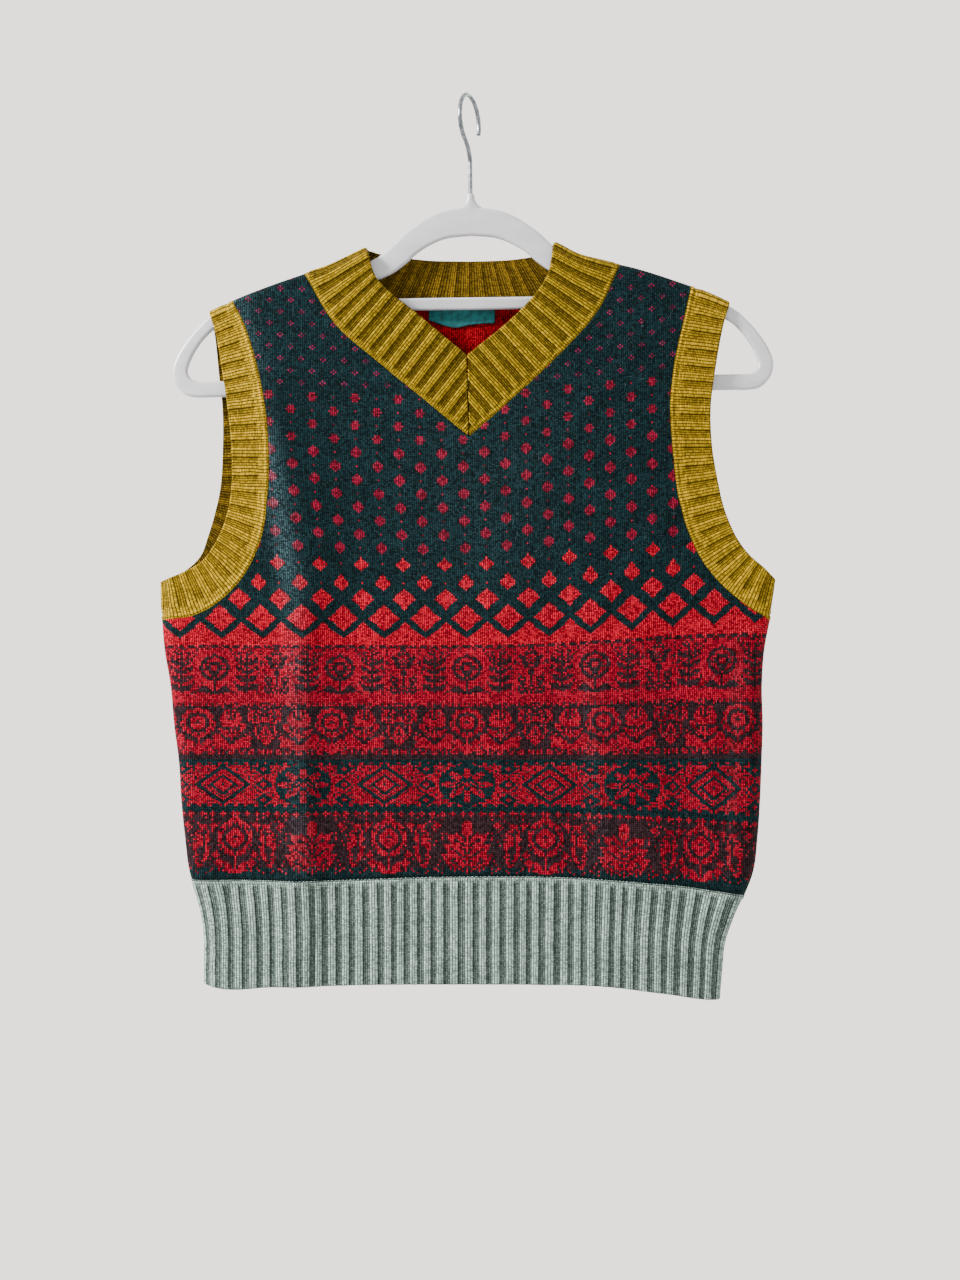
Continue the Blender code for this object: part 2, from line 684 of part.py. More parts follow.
def hanger(look):
    places = list(range(len(HANGER_RIMS)))
    read_at = sorted(set(places) | {at + 0.5 for at in list(range(7)) + list(range(11, 18))})
    half = []
    for at in read_at:
        outer = [through(places, column(HANGER_RIMS, name), at) for name in ("outer_x", "outer_z")]
        inner = [through(places, column(HANGER_RIMS, name), at) for name in ("inner_x", "inner_z")]
        half.append((outer, inner))
    mirrored = [((-outer[0], outer[1]), (-inner[0], inner[1])) for outer, inner in half[-2:0:-1]]
    frame = loft([bar_section(*rim, HANGER_HALF_THICK) for rim in half + mirrored], True)
    made = finish("hanger", frame, look)

    top = TIE_BAR_MIDDLE + TIE_BAR_HALF_HEIGHT
    foot = TIE_BAR_MIDDLE - TIE_BAR_HALF_HEIGHT
    ends = [
        bar_section((x, top), (x, foot), TIE_BAR_HALF_THICK)
        for x in (-TIE_BAR_HALF_LENGTH, TIE_BAR_HALF_LENGTH)
    ]
    tie_bar = finish("tie_bar_shape", loft(ends, False), look, HELPERS)

    turns = [2 * math.pi * i / ROUND_SIDES for i in range(ROUND_SIDES)]
    rings = [
        [(oval.half_x * math.cos(turn), oval.half_y * math.sin(turn), oval.z) for turn in turns]
        for oval in HUB_SECTIONS
    ]
    hub = finish("hub_shape", loft(rings, False), look, HELPERS)

    socket_shape = bmesh.new()
    bmesh.ops.create_cone(
        socket_shape,
        cap_ends=True,
        segments=ROUND_SIDES,
        radius1=WIRE_RADIUS + SOCKET_PLAY,
        radius2=WIRE_RADIUS + SOCKET_PLAY,
        depth=2 * SOCKET_DEPTH,
    )
    bmesh.ops.translate(socket_shape, vec=(0, 0, SOCKET_TOP), verts=socket_shape.verts)
    socket = finish("socket_shape", socket_shape, look, HELPERS)

    for shape, operation in ((tie_bar, "UNION"), (hub, "UNION"), (socket, "DIFFERENCE")):
        step = made.modifiers.new(shape.name, "BOOLEAN")
        step.operation = operation
        step.solver = "EXACT"
        step.object = shape
    for piece in (made, tie_bar, hub, socket):
        piece.rotation_euler.y = -HANGER_LEAN
    return made


def hook(look):
    """Bent wire: the rail's loop, a reverse bend of the same radius and the stem in its socket."""
    centre_z = WIRE_RADIUS - HOOK_RADIUS
    path = []
    for angle in range(-18, 241, 12):
        turn = math.radians(angle)
        path.append((HOOK_RADIUS * math.cos(turn), centre_z + HOOK_RADIUS * math.sin(turn)))
    back_x = 2 * HOOK_RADIUS * math.cos(math.radians(240))
    back_z = centre_z + 2 * HOOK_RADIUS * math.sin(math.radians(240))
    for angle in range(48, -1, -12):
        turn = math.radians(angle)
        path.append((back_x + HOOK_RADIUS * math.cos(turn), back_z + HOOK_RADIUS * math.sin(turn)))
    path.append((0.0, SOCKET_TOP - SOCKET_DEPTH + SEAM_GAP))
    curve = bpy.data.curves.new("hanger_hook", "CURVE")
    curve.dimensions = "3D"
    curve.bevel_depth = WIRE_RADIUS * MM
    curve.bevel_resolution = 2
    curve.use_fill_caps = True
    spline = curve.splines.new("POLY")
    spline.points.add(len(path) - 1)
    for point, (reach, z) in zip(spline.points, path):
        x = reach * math.cos(HOOK_TURN)
        y = reach * math.sin(HOOK_TURN)
        point.co = (x * MM, y * MM, z * MM, 1.0)
    curve.materials.append(look)
    made = bpy.data.objects.new("hanger_hook", curve)
    made.rotation_euler.y = -HANGER_LEAN
    VEST.objects.link(made)
    return made


# The pieces ----------------------------------------------------------------------------------

FRONT_KNIT = material("front colourwork knit", (0.33, 0.02, 0.03), 0.9)
BACK_KNIT = material("back colourwork knit", (0.27, 0.02, 0.03), 0.9)
FRONT_WELT = material("front sage rib", (0.24, 0.33, 0.30), 0.9)
BACK_WELT = material("back sage rib", (0.22, 0.31, 0.28), 0.9)
NECK_RIB = material("neck ochre rib", (0.30, 0.22, 0.02), 0.9)
LEFT_RIB = material("left ochre rib", (0.29, 0.21, 0.02), 0.9)
RIGHT_RIB = material("right ochre rib", (0.28, 0.20, 0.02), 0.9)
TEAL_TAPE = material("teal tape", (0.02, 0.28, 0.27), 0.6)
WHITE_PLASTIC = material("white plastic", (0.80, 0.80, 0.83), 0.35)
ZINC_WIRE = material("zinc-plated wire", (0.62, 0.63, 0.64), 0.3, 1.0)

panel("front", FRONT, FRONT_KNIT)
panel("back", BACK, BACK_KNIT)
ribbed("hem_rib_front", welt_place(FRONT), HEM_RIBS, WELT_PARTS, False, FRONT_WELT, SEAM_GAP / 2)
ribbed("hem_rib_back", welt_place(BACK), HEM_RIBS, WELT_PARTS, False, BACK_WELT, SEAM_GAP / 2)
ribbed("neckband", neckband_place(), NECK_RIBS, NECK_PARTS, False, NECK_RIB)
ribbed("armband_left", armband_place(-1), ARM_RIBS, ARM_PARTS, True, LEFT_RIB)
ribbed("armband_right", armband_place(1), ARM_RIBS, ARM_PARTS, True, RIGHT_RIB)
label(TEAL_TAPE)
hanger(WHITE_PLASTIC)
hook(ZINC_WIRE)
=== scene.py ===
"""Looks of a knitted sweater vest and of the slim hanger that it hangs on.

The row frame is in metres, and MM turns the sizes in millimetres below into it. The vest faces
-Y, +X is at the right of someone who looks at its front, and the origin is the hook's inner top.
"""

import math
from collections import namedtuple

import bmesh
import bpy
import numpy as np
from mathutils import Matrix, Vector


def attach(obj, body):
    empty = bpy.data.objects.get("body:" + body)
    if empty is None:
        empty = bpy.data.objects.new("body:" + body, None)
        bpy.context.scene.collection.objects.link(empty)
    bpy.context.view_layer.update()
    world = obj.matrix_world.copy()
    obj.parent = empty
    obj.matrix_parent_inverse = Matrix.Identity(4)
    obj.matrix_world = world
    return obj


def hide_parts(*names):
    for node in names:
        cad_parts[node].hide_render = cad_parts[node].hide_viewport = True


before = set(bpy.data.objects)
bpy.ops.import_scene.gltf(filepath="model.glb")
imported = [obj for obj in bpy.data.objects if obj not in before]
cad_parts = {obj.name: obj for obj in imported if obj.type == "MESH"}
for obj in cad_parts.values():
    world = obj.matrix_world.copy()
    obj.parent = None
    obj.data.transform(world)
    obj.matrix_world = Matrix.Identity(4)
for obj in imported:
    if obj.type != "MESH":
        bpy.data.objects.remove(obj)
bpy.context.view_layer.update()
MM = 0.001


# Hook ----------------------------------------------------------------------------------------
# Steel wire 3.3 mm thick, cut to length, bent round a former and zinc-plated bright. Its stem
# is pressed into the hanger's stub, where it can turn. It is made by spinning the wire's round
# section about the two centres that the wire is bent around.

WIRE_RADIUS = 1.65
HOOK_RADIUS = 18.5
HOOK_TURN = math.radians(68)
LOOP_ANGLE = math.radians(258)
BACK_ANGLE = math.radians(60)
SOCKET_TOP = -71.4
STEM_FOOT = -80.1
HANGER_LEAN = math.radians(0.8)


def linear(code):
    """The linear colour of an sRGB hex code."""
    channels = [int(code[i : i + 2], 16) / 255 for i in (1, 3, 5)]
    return (*[c / 12.92 if c <= 0.04045 else ((c + 0.055) / 1.055) ** 2.4 for c in channels], 1.0)


def add(tree, kind, feeds=(), **settings):
    """Adds a node with its settings. Feeds are its sockets' values, or the nodes that feed them.

    A kind in capitals is an operation of the math node.
    """
    if kind.isupper():
        kind, settings["operation"] = "Math", kind
    made = tree.nodes.new("ShaderNode" + kind)
    for name, value in settings.items():
        setattr(made, name, value)
    for place, feed in feeds.items() if isinstance(feeds, dict) else enumerate(feeds):
        if isinstance(feed, bpy.types.Node):
            feed = feed.outputs[0]
        if isinstance(feed, bpy.types.NodeSocket):
            tree.links.new(feed, made.inputs[place])
        else:
            made.inputs[place].default_value = feed
    return made


def new_material(name):
    made = bpy.data.materials.new(name)
    made.use_nodes = True
    made.node_tree.nodes.clear()
    return made, made.node_tree


def ramp(tree, feed, *stops):
    """A colour ramp between two stops, each of them a place and an sRGB code."""
    made = add(tree, "ValToRGB", [feed])
    for element, (position, code) in zip(made.color_ramp.elements, stops):
        element.position = position
        element.color = linear(code)
    return made


def noise(tree, place, scale, detail, roughness=0.5):
    feeds = {"Vector": place, "Scale": scale, "Detail": detail, "Roughness": roughness}
    return add(tree, "TexNoise", feeds)


def remap(tree, value, span, onto):
    return add(tree, "MapRange", [value, *span, *onto])


def mixed(tree, share, first, second):
    return add(tree, "Mix", {0: share, 6: first, 7: second}, data_type="RGBA").outputs[2]


def surface(tree, looks):
    add(tree, "OutputMaterial", {"Surface": add(tree, "BsdfPrincipled", looks)})


def linked(name, data):
    """A new object with this data, in the scene."""
    made = bpy.data.objects.new(name, data)
    bpy.context.scene.collection.objects.link(made)
    return made


def placed(piece, slot_name, *nodes):
    """A finished piece rides on the one body and stands for its nodes, which are hidden.
    slot_name is not used.
    """
    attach(piece, "root")
    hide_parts(*nodes)


# Bright zinc on drawn steel: a pale, slightly blue metal with soft streaks along the wire.
zinc, tree = new_material("zinc-plated drawn steel")
place = add(tree, "TexCoord")
streaks = add(tree, "Mapping", {0: place.outputs["Object"], 3: (900, 900, 60)})
cloudy = noise(tree, streaks, 1.0, 3.0)
rough = remap(tree, cloudy, (0.0, 1.0), (0.2, 0.36))
dull = noise(tree, place.outputs["Object"], 260.0, 2.0)
colour = ramp(tree, dull, (0.35, "#495056"), (0.7, "#7c8388"))
relief = add(tree, "Bump", {"Strength": 0.12, "Distance": 0.0001, "Height": cloudy})
surface(tree, {"Base Color": colour, "Metallic": 1.0, "Roughness": rough, "Normal": relief})

bpy.ops.object.select_all(action="DESELECT")
bpy.ops.mesh.primitive_circle_add(
    vertices=20, radius=WIRE_RADIUS * MM, location=(0, 0, STEM_FOOT * MM)
)
hook = bpy.context.object
hook.name = "hook_wire"
loop_z = WIRE_RADIUS - HOOK_RADIUS
back_z = loop_z - 2 * HOOK_RADIUS * math.sin(BACK_ANGLE)
bpy.ops.object.transform_apply(location=True, rotation=True, scale=True)
bpy.ops.object.mode_set(mode="EDIT")
bpy.ops.mesh.select_all(action="SELECT")
bpy.ops.mesh.extrude_region_move(
    TRANSFORM_OT_translate={"value": (0, 0, (back_z - STEM_FOOT) * MM)}
)
bpy.ops.mesh.spin(
    steps=12, angle=BACK_ANGLE, center=(-HOOK_RADIUS * MM, 0, back_z * MM), axis=(0, 1, 0)
)
bpy.ops.mesh.spin(steps=52, angle=LOOP_ANGLE, center=(0, 0, loop_z * MM), axis=(0, -1, 0))
bpy.ops.mesh.select_all(action="SELECT")
bpy.ops.mesh.remove_doubles(threshold=0.00001)
bpy.ops.mesh.fill_holes(sides=0)
bpy.ops.mesh.select_all(action="SELECT")
bpy.ops.mesh.normals_make_consistent(inside=False)
bpy.ops.mesh.select_all(action="DESELECT")
bpy.ops.object.mode_set(mode="OBJECT")
shape = bmesh.new()
shape.from_mesh(hook.data)
# The two flat ends are the only faces with many corners, and their rims are rounded.
ends = [face for face in shape.faces if len(face.verts) > 8]
rims = [edge for end in ends for edge in end.edges]
bmesh.ops.bevel(shape, geom=rims, offset=0.35 * MM, segments=3, affect="EDGES", profile=0.5)
shape.to_mesh(hook.data)
shape.free()
hook.data.transform(Matrix.Rotation(HOOK_TURN, 4, "Z"))
hook.data.transform(Matrix.Rotation(-HANGER_LEAN, 4, "Y"))
hook.data.materials.append(zinc)
bpy.ops.object.shade_smooth_by_angle(angle=math.radians(35))
placed(hook, "hook_wire", "hanger_hook")


# Hanger --------------------------------------------------------------------------------------
# One moulding of white polystyrene, 5 mm thick: an arch, two sloping arms that end in round
# noses, a straight bottom bar and a tie bar between the arms. Its edges are fully rounded and
# its faces have the faint cloudiness of the mould. The vest hangs on its arms.

HALF_THICK = 2.5
# Outer and inner edge, from the middle of the arch round the right nose to the bottom's middle.
Rim = namedtuple("Rim", "outer_x outer_z inner_x inner_z")
RIMS = [Rim(*row) for row in (
    (0, -80.5, 0, -102.1),
    (20, -83.3, 17, -103.7),
    (35, -89.6, 29, -108),
    (50, -100.2, 40, -114.6),
    (60, -109.8, 49, -122.6),
    (70, -117.4, 61, -130.6),
    (82, -121.9, 77, -136.2),
    (100, -125.9, 96, -140),
    (121, -130.4, 117.5, -143.8),
    (150, -140, 145.8, -152.4),
    (174, -149.2, 169.5, -160.8),
    (192.8, -158.1, 187.4, -166.6),
    (204, -168, 196.8, -174),
    (212.4, -178, 203.6, -182.6),
    (219, -188.5, 208.6, -191.8),
    (222.2, -198.5, 210.8, -199.6),
    (220.4, -208.4, 208.6, -204.8),
    (213, -216.6, 203.4, -206.8),
    (204, -218.8, 197.5, -207),
    (193, -218.8, 188.5, -207),
    (170, -218.8, 168, -207),
    (120, -218.8, 120, -207),
    (0, -218.8, 0, -207),
)]
RIM_STEPS = 6
TIE_HALF_LENGTH, TIE_MIDDLE, TIE_HALF_HEIGHT, TIE_HALF_THICK = 157.0, -152.2, 4.6, 2.1
# The stub that holds the hook: height and half sizes of its oval sections.
Oval = namedtuple("Oval", "z half_x half_y")
STUB = [Oval(*row) for row in (
    (-71.4, 2.7, 2.7),
    (-71.8, 3, 3),
    (-75.5, 3.2, 2.9),
    (-79, 5.4, 2.8),
    (-82, 9.4, 2.6),
    (-88, 12, 2.2),
)]


def through(places, values, at):
    """Reads the smooth curve through a table's points, which runs on straight past its ends."""
    places = np.asarray(places, float)
    values = np.asarray(values, float)
    step = np.diff(places)
    rise = np.diff(values) / step
    slope = np.empty_like(values)
    slope[1:-1] = (rise[:-1] * step[1:] + rise[1:] * step[:-1]) / (step[:-1] + step[1:])
    slope[0] = rise[0]
    slope[-1] = rise[-1]
    held = np.clip(at, places[0], places[-1])
    i = np.clip(np.searchsorted(places, held) - 1, 0, len(step) - 1)
    part = (held - places[i]) / step[i]
    value = (
        (1 + 2 * part) * (1 - part) ** 2 * values[i]
        + part * (1 - part) ** 2 * step[i] * slope[i]
        + part * part * (3 - 2 * part) * values[i + 1]
        + part * part * (part - 1) * step[i] * slope[i + 1]
    )
    return value + (at - held) * np.where(at < places[0], slope[0], slope[-1])


def column(rows, name):
    return [getattr(row, name) for row in rows]


def looked_up(rows, name, at):
    """The smooth curve through one column of a table, against the table's first column."""
    return through([row[0] for row in rows], column(rows, name), at)


def unit(vectors):
    return vectors / np.linalg.norm(vectors, axis=-1, keepdims=True)


def cells(grid):
    """The four corners of each cell of a grid, in turn."""
    return np.stack((grid[:-1, :-1], grid[:-1, 1:], grid[1:, 1:], grid[1:, :-1]), 2)


def bar_section(outer, inner, half_thick):
    """A flat bar's section between two edges, both of them fully rounded."""
    outer = np.array([outer[0], 0.0, outer[1]])
    inner = np.array([inner[0], 0.0, inner[1]])
    middle = (outer + inner) / 2
    half = np.linalg.norm(outer - inner) / 2
    out = (outer - inner) / (2 * half)
    ring = []
    for end, first in ((1, -90), (-1, 90)):
        for angle in np.radians(np.linspace(first, -first, 11)):
            reach = half - half_thick + half_thick * math.cos(angle)
            aside = np.array((0.0, half_thick * math.sin(angle), 0.0))
            ring.append(middle + end * reach * out + aside)
    return ring


def bridged(name, rings, closed):
    """Bridges a row of section rings into a tube, closed on itself or filled at its ends."""
    sides = len(rings[0])
    points = [tuple(np.array(point) * MM) for ring in rings for point in ring]
    edges = [
        (r * sides + i, r * sides + (i + 1) % sides)
        for r in range(len(rings))
        for i in range(sides)
    ]
    mesh = bpy.data.meshes.new(name)
    mesh.from_pydata(points, edges, [])
    made = linked(name, mesh)
    bpy.ops.object.select_all(action="DESELECT")
    made.select_set(True)
    bpy.context.view_layer.objects.active = made
    bpy.ops.object.mode_set(mode="EDIT")
    bpy.ops.mesh.select_all(action="SELECT")
    bpy.ops.mesh.bridge_edge_loops(type="CLOSED" if closed else "SINGLE")
    if not closed:
        bpy.ops.mesh.select_all(action="SELECT")
        bpy.ops.mesh.fill_holes(sides=0)
    bpy.ops.mesh.select_all(action="SELECT")
    bpy.ops.mesh.normals_make_consistent(inside=False)
    bpy.ops.object.mode_set(mode="OBJECT")
    return made


steps = np.linspace(0, len(RIMS) - 1, RIM_STEPS * (len(RIMS) - 1) + 1)
half = np.stack([through(range(len(RIMS)), column(RIMS, name), steps) for name in Rim._fields], 1)
mirrored = half[-2:0:-1] * (-1, 1, -1, 1)
rings = [bar_section(rim[:2], rim[2:], HALF_THICK) for rim in np.concatenate((half, mirrored))]
hanger = bridged("hanger_moulding", rings, True)
top, foot = TIE_MIDDLE + TIE_HALF_HEIGHT, TIE_MIDDLE - TIE_HALF_HEIGHT
ends = (-TIE_HALF_LENGTH, TIE_HALF_LENGTH)
rings = [bar_section((x, top), (x, foot), TIE_HALF_THICK) for x in ends]
tie_bar = bridged("tie_bar", rings, False)
rings = []
for z in np.linspace(STUB[0].z, STUB[-1].z, 25):
    wide, deep = (
        np.interp(-z, [-row.z for row in STUB], column(STUB, name)) for name in ("half_x", "half_y")
    )
    turns = np.radians(np.arange(0, 360, 15))
    rings.append([(wide * math.cos(turn), deep * math.sin(turn), z) for turn in turns])
stub = bridged("stub", rings, False)
bpy.ops.object.select_all(action="DESELECT")
bpy.ops.mesh.primitive_cylinder_add(
    vertices=24, radius=(WIRE_RADIUS + 0.2) * MM, depth=18 * MM, location=(0, 0, SOCKET_TOP * MM)
)
bore = bpy.context.object
bpy.context.view_layer.objects.active = hanger
for other, operation in ((tie_bar, "UNION"), (stub, "UNION"), (bore, "DIFFERENCE")):
    step = hanger.modifiers.new(other.name, "BOOLEAN")
    step.operation = operation
    step.solver = "EXACT"
    step.object = other
    bpy.ops.object.modifier_apply(modifier=step.name)
    bpy.data.objects.remove(other, do_unlink=True)
hanger.data.transform(Matrix.Rotation(-HANGER_LEAN, 4, "Y"))

# Moulded polystyrene: satin white with a cool cast, a little light inside it, faint flow marks
# along the arms and the fine scuffs of use.
polystyrene, tree = new_material("moulded white polystyrene")
place = add(tree, "TexCoord")
flow = add(tree, "Mapping", {0: place.outputs["Object"], 3: (40, 200, 160)})
cloudy = noise(tree, flow, 1.0, 4.0, 0.6)
colour = ramp(tree, cloudy, (0.3, "#8e9098"), (0.75, "#9899a1"))
scuffs = noise(tree, place.outputs["Object"], 1400.0, 2.0)
rough = remap(tree, cloudy, (0.0, 1.0), (0.3, 0.44))
relief = add(tree, "Bump", {"Strength": 0.08, "Distance": 0.0002, "Height": scuffs})
surface(
    tree,
    {
        "Base Color": colour,
        "Roughness": rough,
        "IOR": 1.59,
        "Subsurface Weight": 0.12,
        "Subsurface Radius": (1.0, 0.9, 0.8),
        "Subsurface Scale": 0.002,
        "Normal": relief,
    },
)
hanger.data.materials.clear()
hanger.data.materials.append(polystyrene)
bpy.ops.object.select_all(action="DESELECT")
hanger.select_set(True)
bpy.ops.object.shade_smooth_by_angle(angle=math.radians(32))
placed(hanger, "hanger_plastic", "hanger")


# Back ----------------------------------------------------------------------------------------
# The back panel: one piece of machine-knitted lambswool jersey 1.9 mm thick, in red and dark teal
# colourwork, shaped at the armholes and with a shallow neck. It is linked to the front at the
# shoulders and sides, and its seams lie 0.3 mm from the next piece.

FRONT, BACK = -1, 1
JERSEY_WALL = 1.9
SEAM_GAP = 0.3
SHOULDER_SEAT = 0.65
SIDE_TURN = 12.0
HANG_EASE = 70.0
FOLD_FADE = 28.0
BORDER_REACH = 15.0
CROWN_STEPS, ARMHOLE_STEPS, BODY_STEPS, ACROSS_STEPS = 23, 109, 73, 86
# The size of a stitch, and where the pattern's middle lies across.
WALE = 1.51
COURSE = 1.2
PATTERN_AXIS = -1.3
# Over the chest the stitches are drawn wider, most on the left, and their axis lies further left.
CHEST_AXIS = -4.7
CHEST_FADE = (225.0, 420.0)
CROWN_FADE = 12.0
LEFT_CHEST_WALE, RIGHT_CHEST_WALE = 1.577, 1.542

# Inner line of the folded side edges at each height.
Side = namedtuple("Side", "z left right")
SIDES = [Side(*row) for row in (
    (-300, -226.5, 226),
    (-356, -225.8, 224.5),
    (-387, -225, 220.2),
    (-407, -223.4, 216.5),
    (-434, -218.9, 214.6),
    (-464, -216.2, 215.2),
    (-490, -212.8, 214.4),
    (-520, -210.9, 213.2),
    (-545, -208.4, 211.5),
    (-575, -204, 207.2),
    (-588, -199.6, 202),
    (-604, -195.4, 194.5),
    (-622, -193.3, 188),
    (-643, -193.4, 185.5),
    (-666, -192.8, 183.5),
)]

# How far the inside of each face lies from the hanger's plane where the cloth hangs free.
Depth = namedtuple("Depth", "x front back")
DEPTHS = [Depth(*row) for row in (
    (-220, 9, 8),
    (-185, 10.5, 9),
    (-125, 13, 9.5),
    (-70, 11, 9),
    (0, 12, 8.5),
    (60, 11, 9),
    (110, 12.5, 9.5),
    (180, 10, 9),
    (220, 9, 8),
)]

# Soft folds that the hanging cloth falls into, then its smaller creases. Troughs are negative.
Fold = namedtuple("Fold", "face x_top z_top x_foot z_foot width height")
FOLDS = [Fold(*row) for row in (
    (FRONT, -151, -200, -127, -347, 17, 2.6),
    (FRONT, -123, -393, -127, -640, 18, 3),
    (FRONT, -172, -420, -168, -585, 19, -2.2),
    (FRONT, -92, -300, -88, -560, 17, -1.6),
    (FRONT, 96, -395, 112, -575, 21, 2.2),
    (FRONT, 136, -560, 133, -668, 15, 2.6),
    (FRONT, 150, -400, 158, -560, 18, -1.8),
    (FRONT, -160, -600, -167, -668, 13, 1.8),
    (FRONT, 30, -330, 22, -620, 30, 1.2),
    (BACK, -118, -260, -108, -610, 22, 2.6),
    (BACK, -30, -330, -42, -650, 24, 1.8),
    (BACK, 62, -290, 74, -600, 20, 2.4),
    (BACK, 140, -400, 132, -655, 18, 2.2),
    (BACK, 20, -380, 28, -560, 18, -1.4),
    (FRONT, -120, -405, -122, -640, 10, 1.6),
    (FRONT, -112, -420, -109, -610, 8, -1.1),
    (FRONT, -144, -410, -143, -640, 9, -1.3),
    (FRONT, -104, -215, -64, -268, 7, 1.1),
    (FRONT, 108, -205, 66, -262, 7.5, 1),
    (FRONT, -143, -300, -92, -352, 8, 1.4),
    (FRONT, 140, -318, 98, -372, 8, 1.3),
    (FRONT, -205, -402, -150, -452, 9, 1.5),
    (FRONT, 204, -398, 158, -440, 8, 1.4),
    (FRONT, -52, -470, -58, -575, 10, 1.2),
    (FRONT, 62, -505, 58, -640, 11, 1.4),
    (FRONT, 88, -430, 97, -600, 7, 1.2),
    (FRONT, -12, -395, -20, -490, 12, -0.9),
    (FRONT, 176, -470, 181, -600, 10, 1.4),
    (FRONT, -185, -560, -181, -650, 8, 1.3),
    (FRONT, -74, -330, -60, -420, 9, 0.9),
    (FRONT, 44, -300, 60, -400, 10, 0.8),
    (BACK, -96, -190, -60, -262, 9, 1.4),
    (BACK, 104, -196, 66, -258, 8, 1.3),
    (BACK, -150, -310, -100, -366, 9, 1.6),
    (BACK, 150, -330, 104, -380, 9, 1.6),
    (BACK, -112, -300, -104, -600, 9, 1.5),
    (BACK, -72, -440, -76, -600, 11, 1.3),
    (BACK, 98, -460, 102, -640, 11, 1.2),
    (BACK, 0, -240, -6, -350, 12, 1.2),
    (BACK, 66, -330, 76, -580, 8, 1.3),
    (BACK, -180, -470, -174, -620, 10, 1.4),
    (BACK, 182, -440, 176, -590, 10, 1.2),
)]

# Where a pale bluish sheen is painted on the crests of folds.
PAINTED_SHEEN_CRESTS = [Fold(*row) for row in (
    (FRONT, -147, -262, -134, -340, 9, 0.9),
    (FRONT, -128, -372, -122, -566, 8, 0.26),
    (FRONT, -181, -132, -165, -190, 13, 0.5),
    (FRONT, 88, -430, 97, -575, 6, 0.15),
    (FRONT, 196, -430, 190, -560, 5, 0.15),
    (FRONT, 12, -214, 16, -350, 70, 0.13),
    (BACK, -112, -300, -104, -560, 8, 0.3),
    (BACK, 150, -240, 132, -340, 12, 0.5),
    (BACK, 196, -410, 186, -560, 8, 0.3),
    (BACK, 62, -320, 74, -560, 7, 0.18),
)]

# One row for each station down an armhole: its seam, the free edge of its band and how far the
# back's edge stands out beyond the front's, then the front and back neck seams that the same row
# of the panel runs to, and the free edge of the neckband there. Station 0 is the shoulder's crown
# and the last one the side seam. None is read from those lines, and what is left out is 0.
Station = namedtuple(
    "Station",
    "seam_x seam_z edge_x edge_z back_out neck_z yoke_z "
    "neck_x yoke_x collar_x collar_z nape_x nape_z",
    defaults=(0,) * 6,
)
STATIONS = {}
STATIONS[-1] = [Station(*row) for row in (
    (-174, None, -191.5, None, 0, None, None, -121, -121, -75, None, -75, None),
    (-165, -169, -186.2, -177, 2.5, -169, -146.5, -98.5, -92, -66.5, -137, -62, -114.6),
    (-156, -196, -181.8, -202, 4.5, -197, -152, -67, -45, -38.5, -161, -31, -118.4),
    (-149.5, -226, -177.6, -229, 6, -227.3, -153.5, -30, 0, -1.5, -192, 0, -119.2),
    (-146.2, -258, -174.5, -258, 9, -252, -190, 0, 0, 0, -252),
    (-146.4, -290, -174.3, -288, 11, -287, -235),
    (-150.7, -323, -178.5, -312, 12, -320, -285),
    (-162.5, -350.5, -187, -331, 10, -347, -327),
    (-179.5, -370, -197, -343.8, 6, -366, -354),
    (-200, -382.5, -211, -351.5, 2, -378, -372),
    (None, -386.5, None, -357.5, 0, -386.5, -386.5),
)]
STATIONS[1] = [Station(*row) for row in (
    (163, None, 192, None, 0, None, None, 111, 111, 62, None, 62, None),
    (157.5, -165, 187, -170, -2, -160.5, -144.5, 94, 88, 56, -135.5, 55, -114),
    (150.5, -196, 181.5, -199, -2, -193, -152, 65, 45, 34, -162.3, 30, -118),
    (147, -228, 177.6, -229, -2, -226.3, -153.5, 29.6, 0, -1.5, -192, 0, -119.2),
    (148.5, -257, 178.3, -257, -2, -252, -190, 0, 0, 0, -252),
    (151.5, -287, 182.2, -282, -2, -287, -235),
    (157.5, -313.5, 187.5, -305, -2, -320, -285),
    (168.8, -339.7, 195.8, -324.5, -2, -347, -327),
    (184, -359.5, 205.5, -338, -1.5, -366, -354),
    (203, -375.5, 216, -347.3, -1, -378, -372),
    (None, -386.5, None, -356, 0, -386.5, -386.5),
)]
V_TIP = 4
V_INSIDE = 3
NAPE = 3
UNDERARM = 10
UNDERARM_Z = -386.5

# The welt's seam and its lower edge, from the left side seam to the right one.
Welt = namedtuple("Welt", "across seam_z edge_z")
WELT = [Welt(*row) for row in (
    (0, -577, -655),
    (0.06, -577, -657),
    (0.12, -577, -655.6),
    (0.27, -577, -654.2),
    (0.39, -575, -653.6),
    (0.52, -574, -653.3),
    (0.60, -574, -653.6),
    (0.74, -576.3, -655),
    (0.85, -580.1, -659.6),
    (0.925, -584, -663.8),
    (1, -588.5, -666),
)]


ARM_TURN = 4.2


def on_arm(rim, side):
    """The crown where the cloth lies on the leaning hanger's arm."""
    x, z = side * rim.outer_x, rim.outer_z
    return (
        x * math.cos(HANGER_LEAN) - z * math.sin(HANGER_LEAN),
        x * math.sin(HANGER_LEAN) + z * math.cos(HANGER_LEAN) + SHOULDER_SEAT,
        ARM_TURN,
    )


# The crown of the shoulders: its place, and how far the cloth takes to turn over it.
arms = RIMS[8:12]
CROWN = np.array(
    [on_arm(rim, -1) for rim in reversed(arms)]
    + [
        (-102, -125.6, 5),
        (-90, -120, 6.2),
        (-75, -113, 8),
        (-40, -104, 8),
        (0, -100, 8),
        (35, -103, 8),
        (62, -108.9, 8),
        (80, -117.8, 6.2),
        (97, -122.2, 5),
    ]
    + [on_arm(rim, 1) for rim in arms]
)


def crown_z(x):
    return through(CROWN[:, 0], CROWN[:, 1], x)


def side_x(z, side):
    return through([-row.z for row in SIDES], column(SIDES, "left" if side < 0 else "right"), -z)


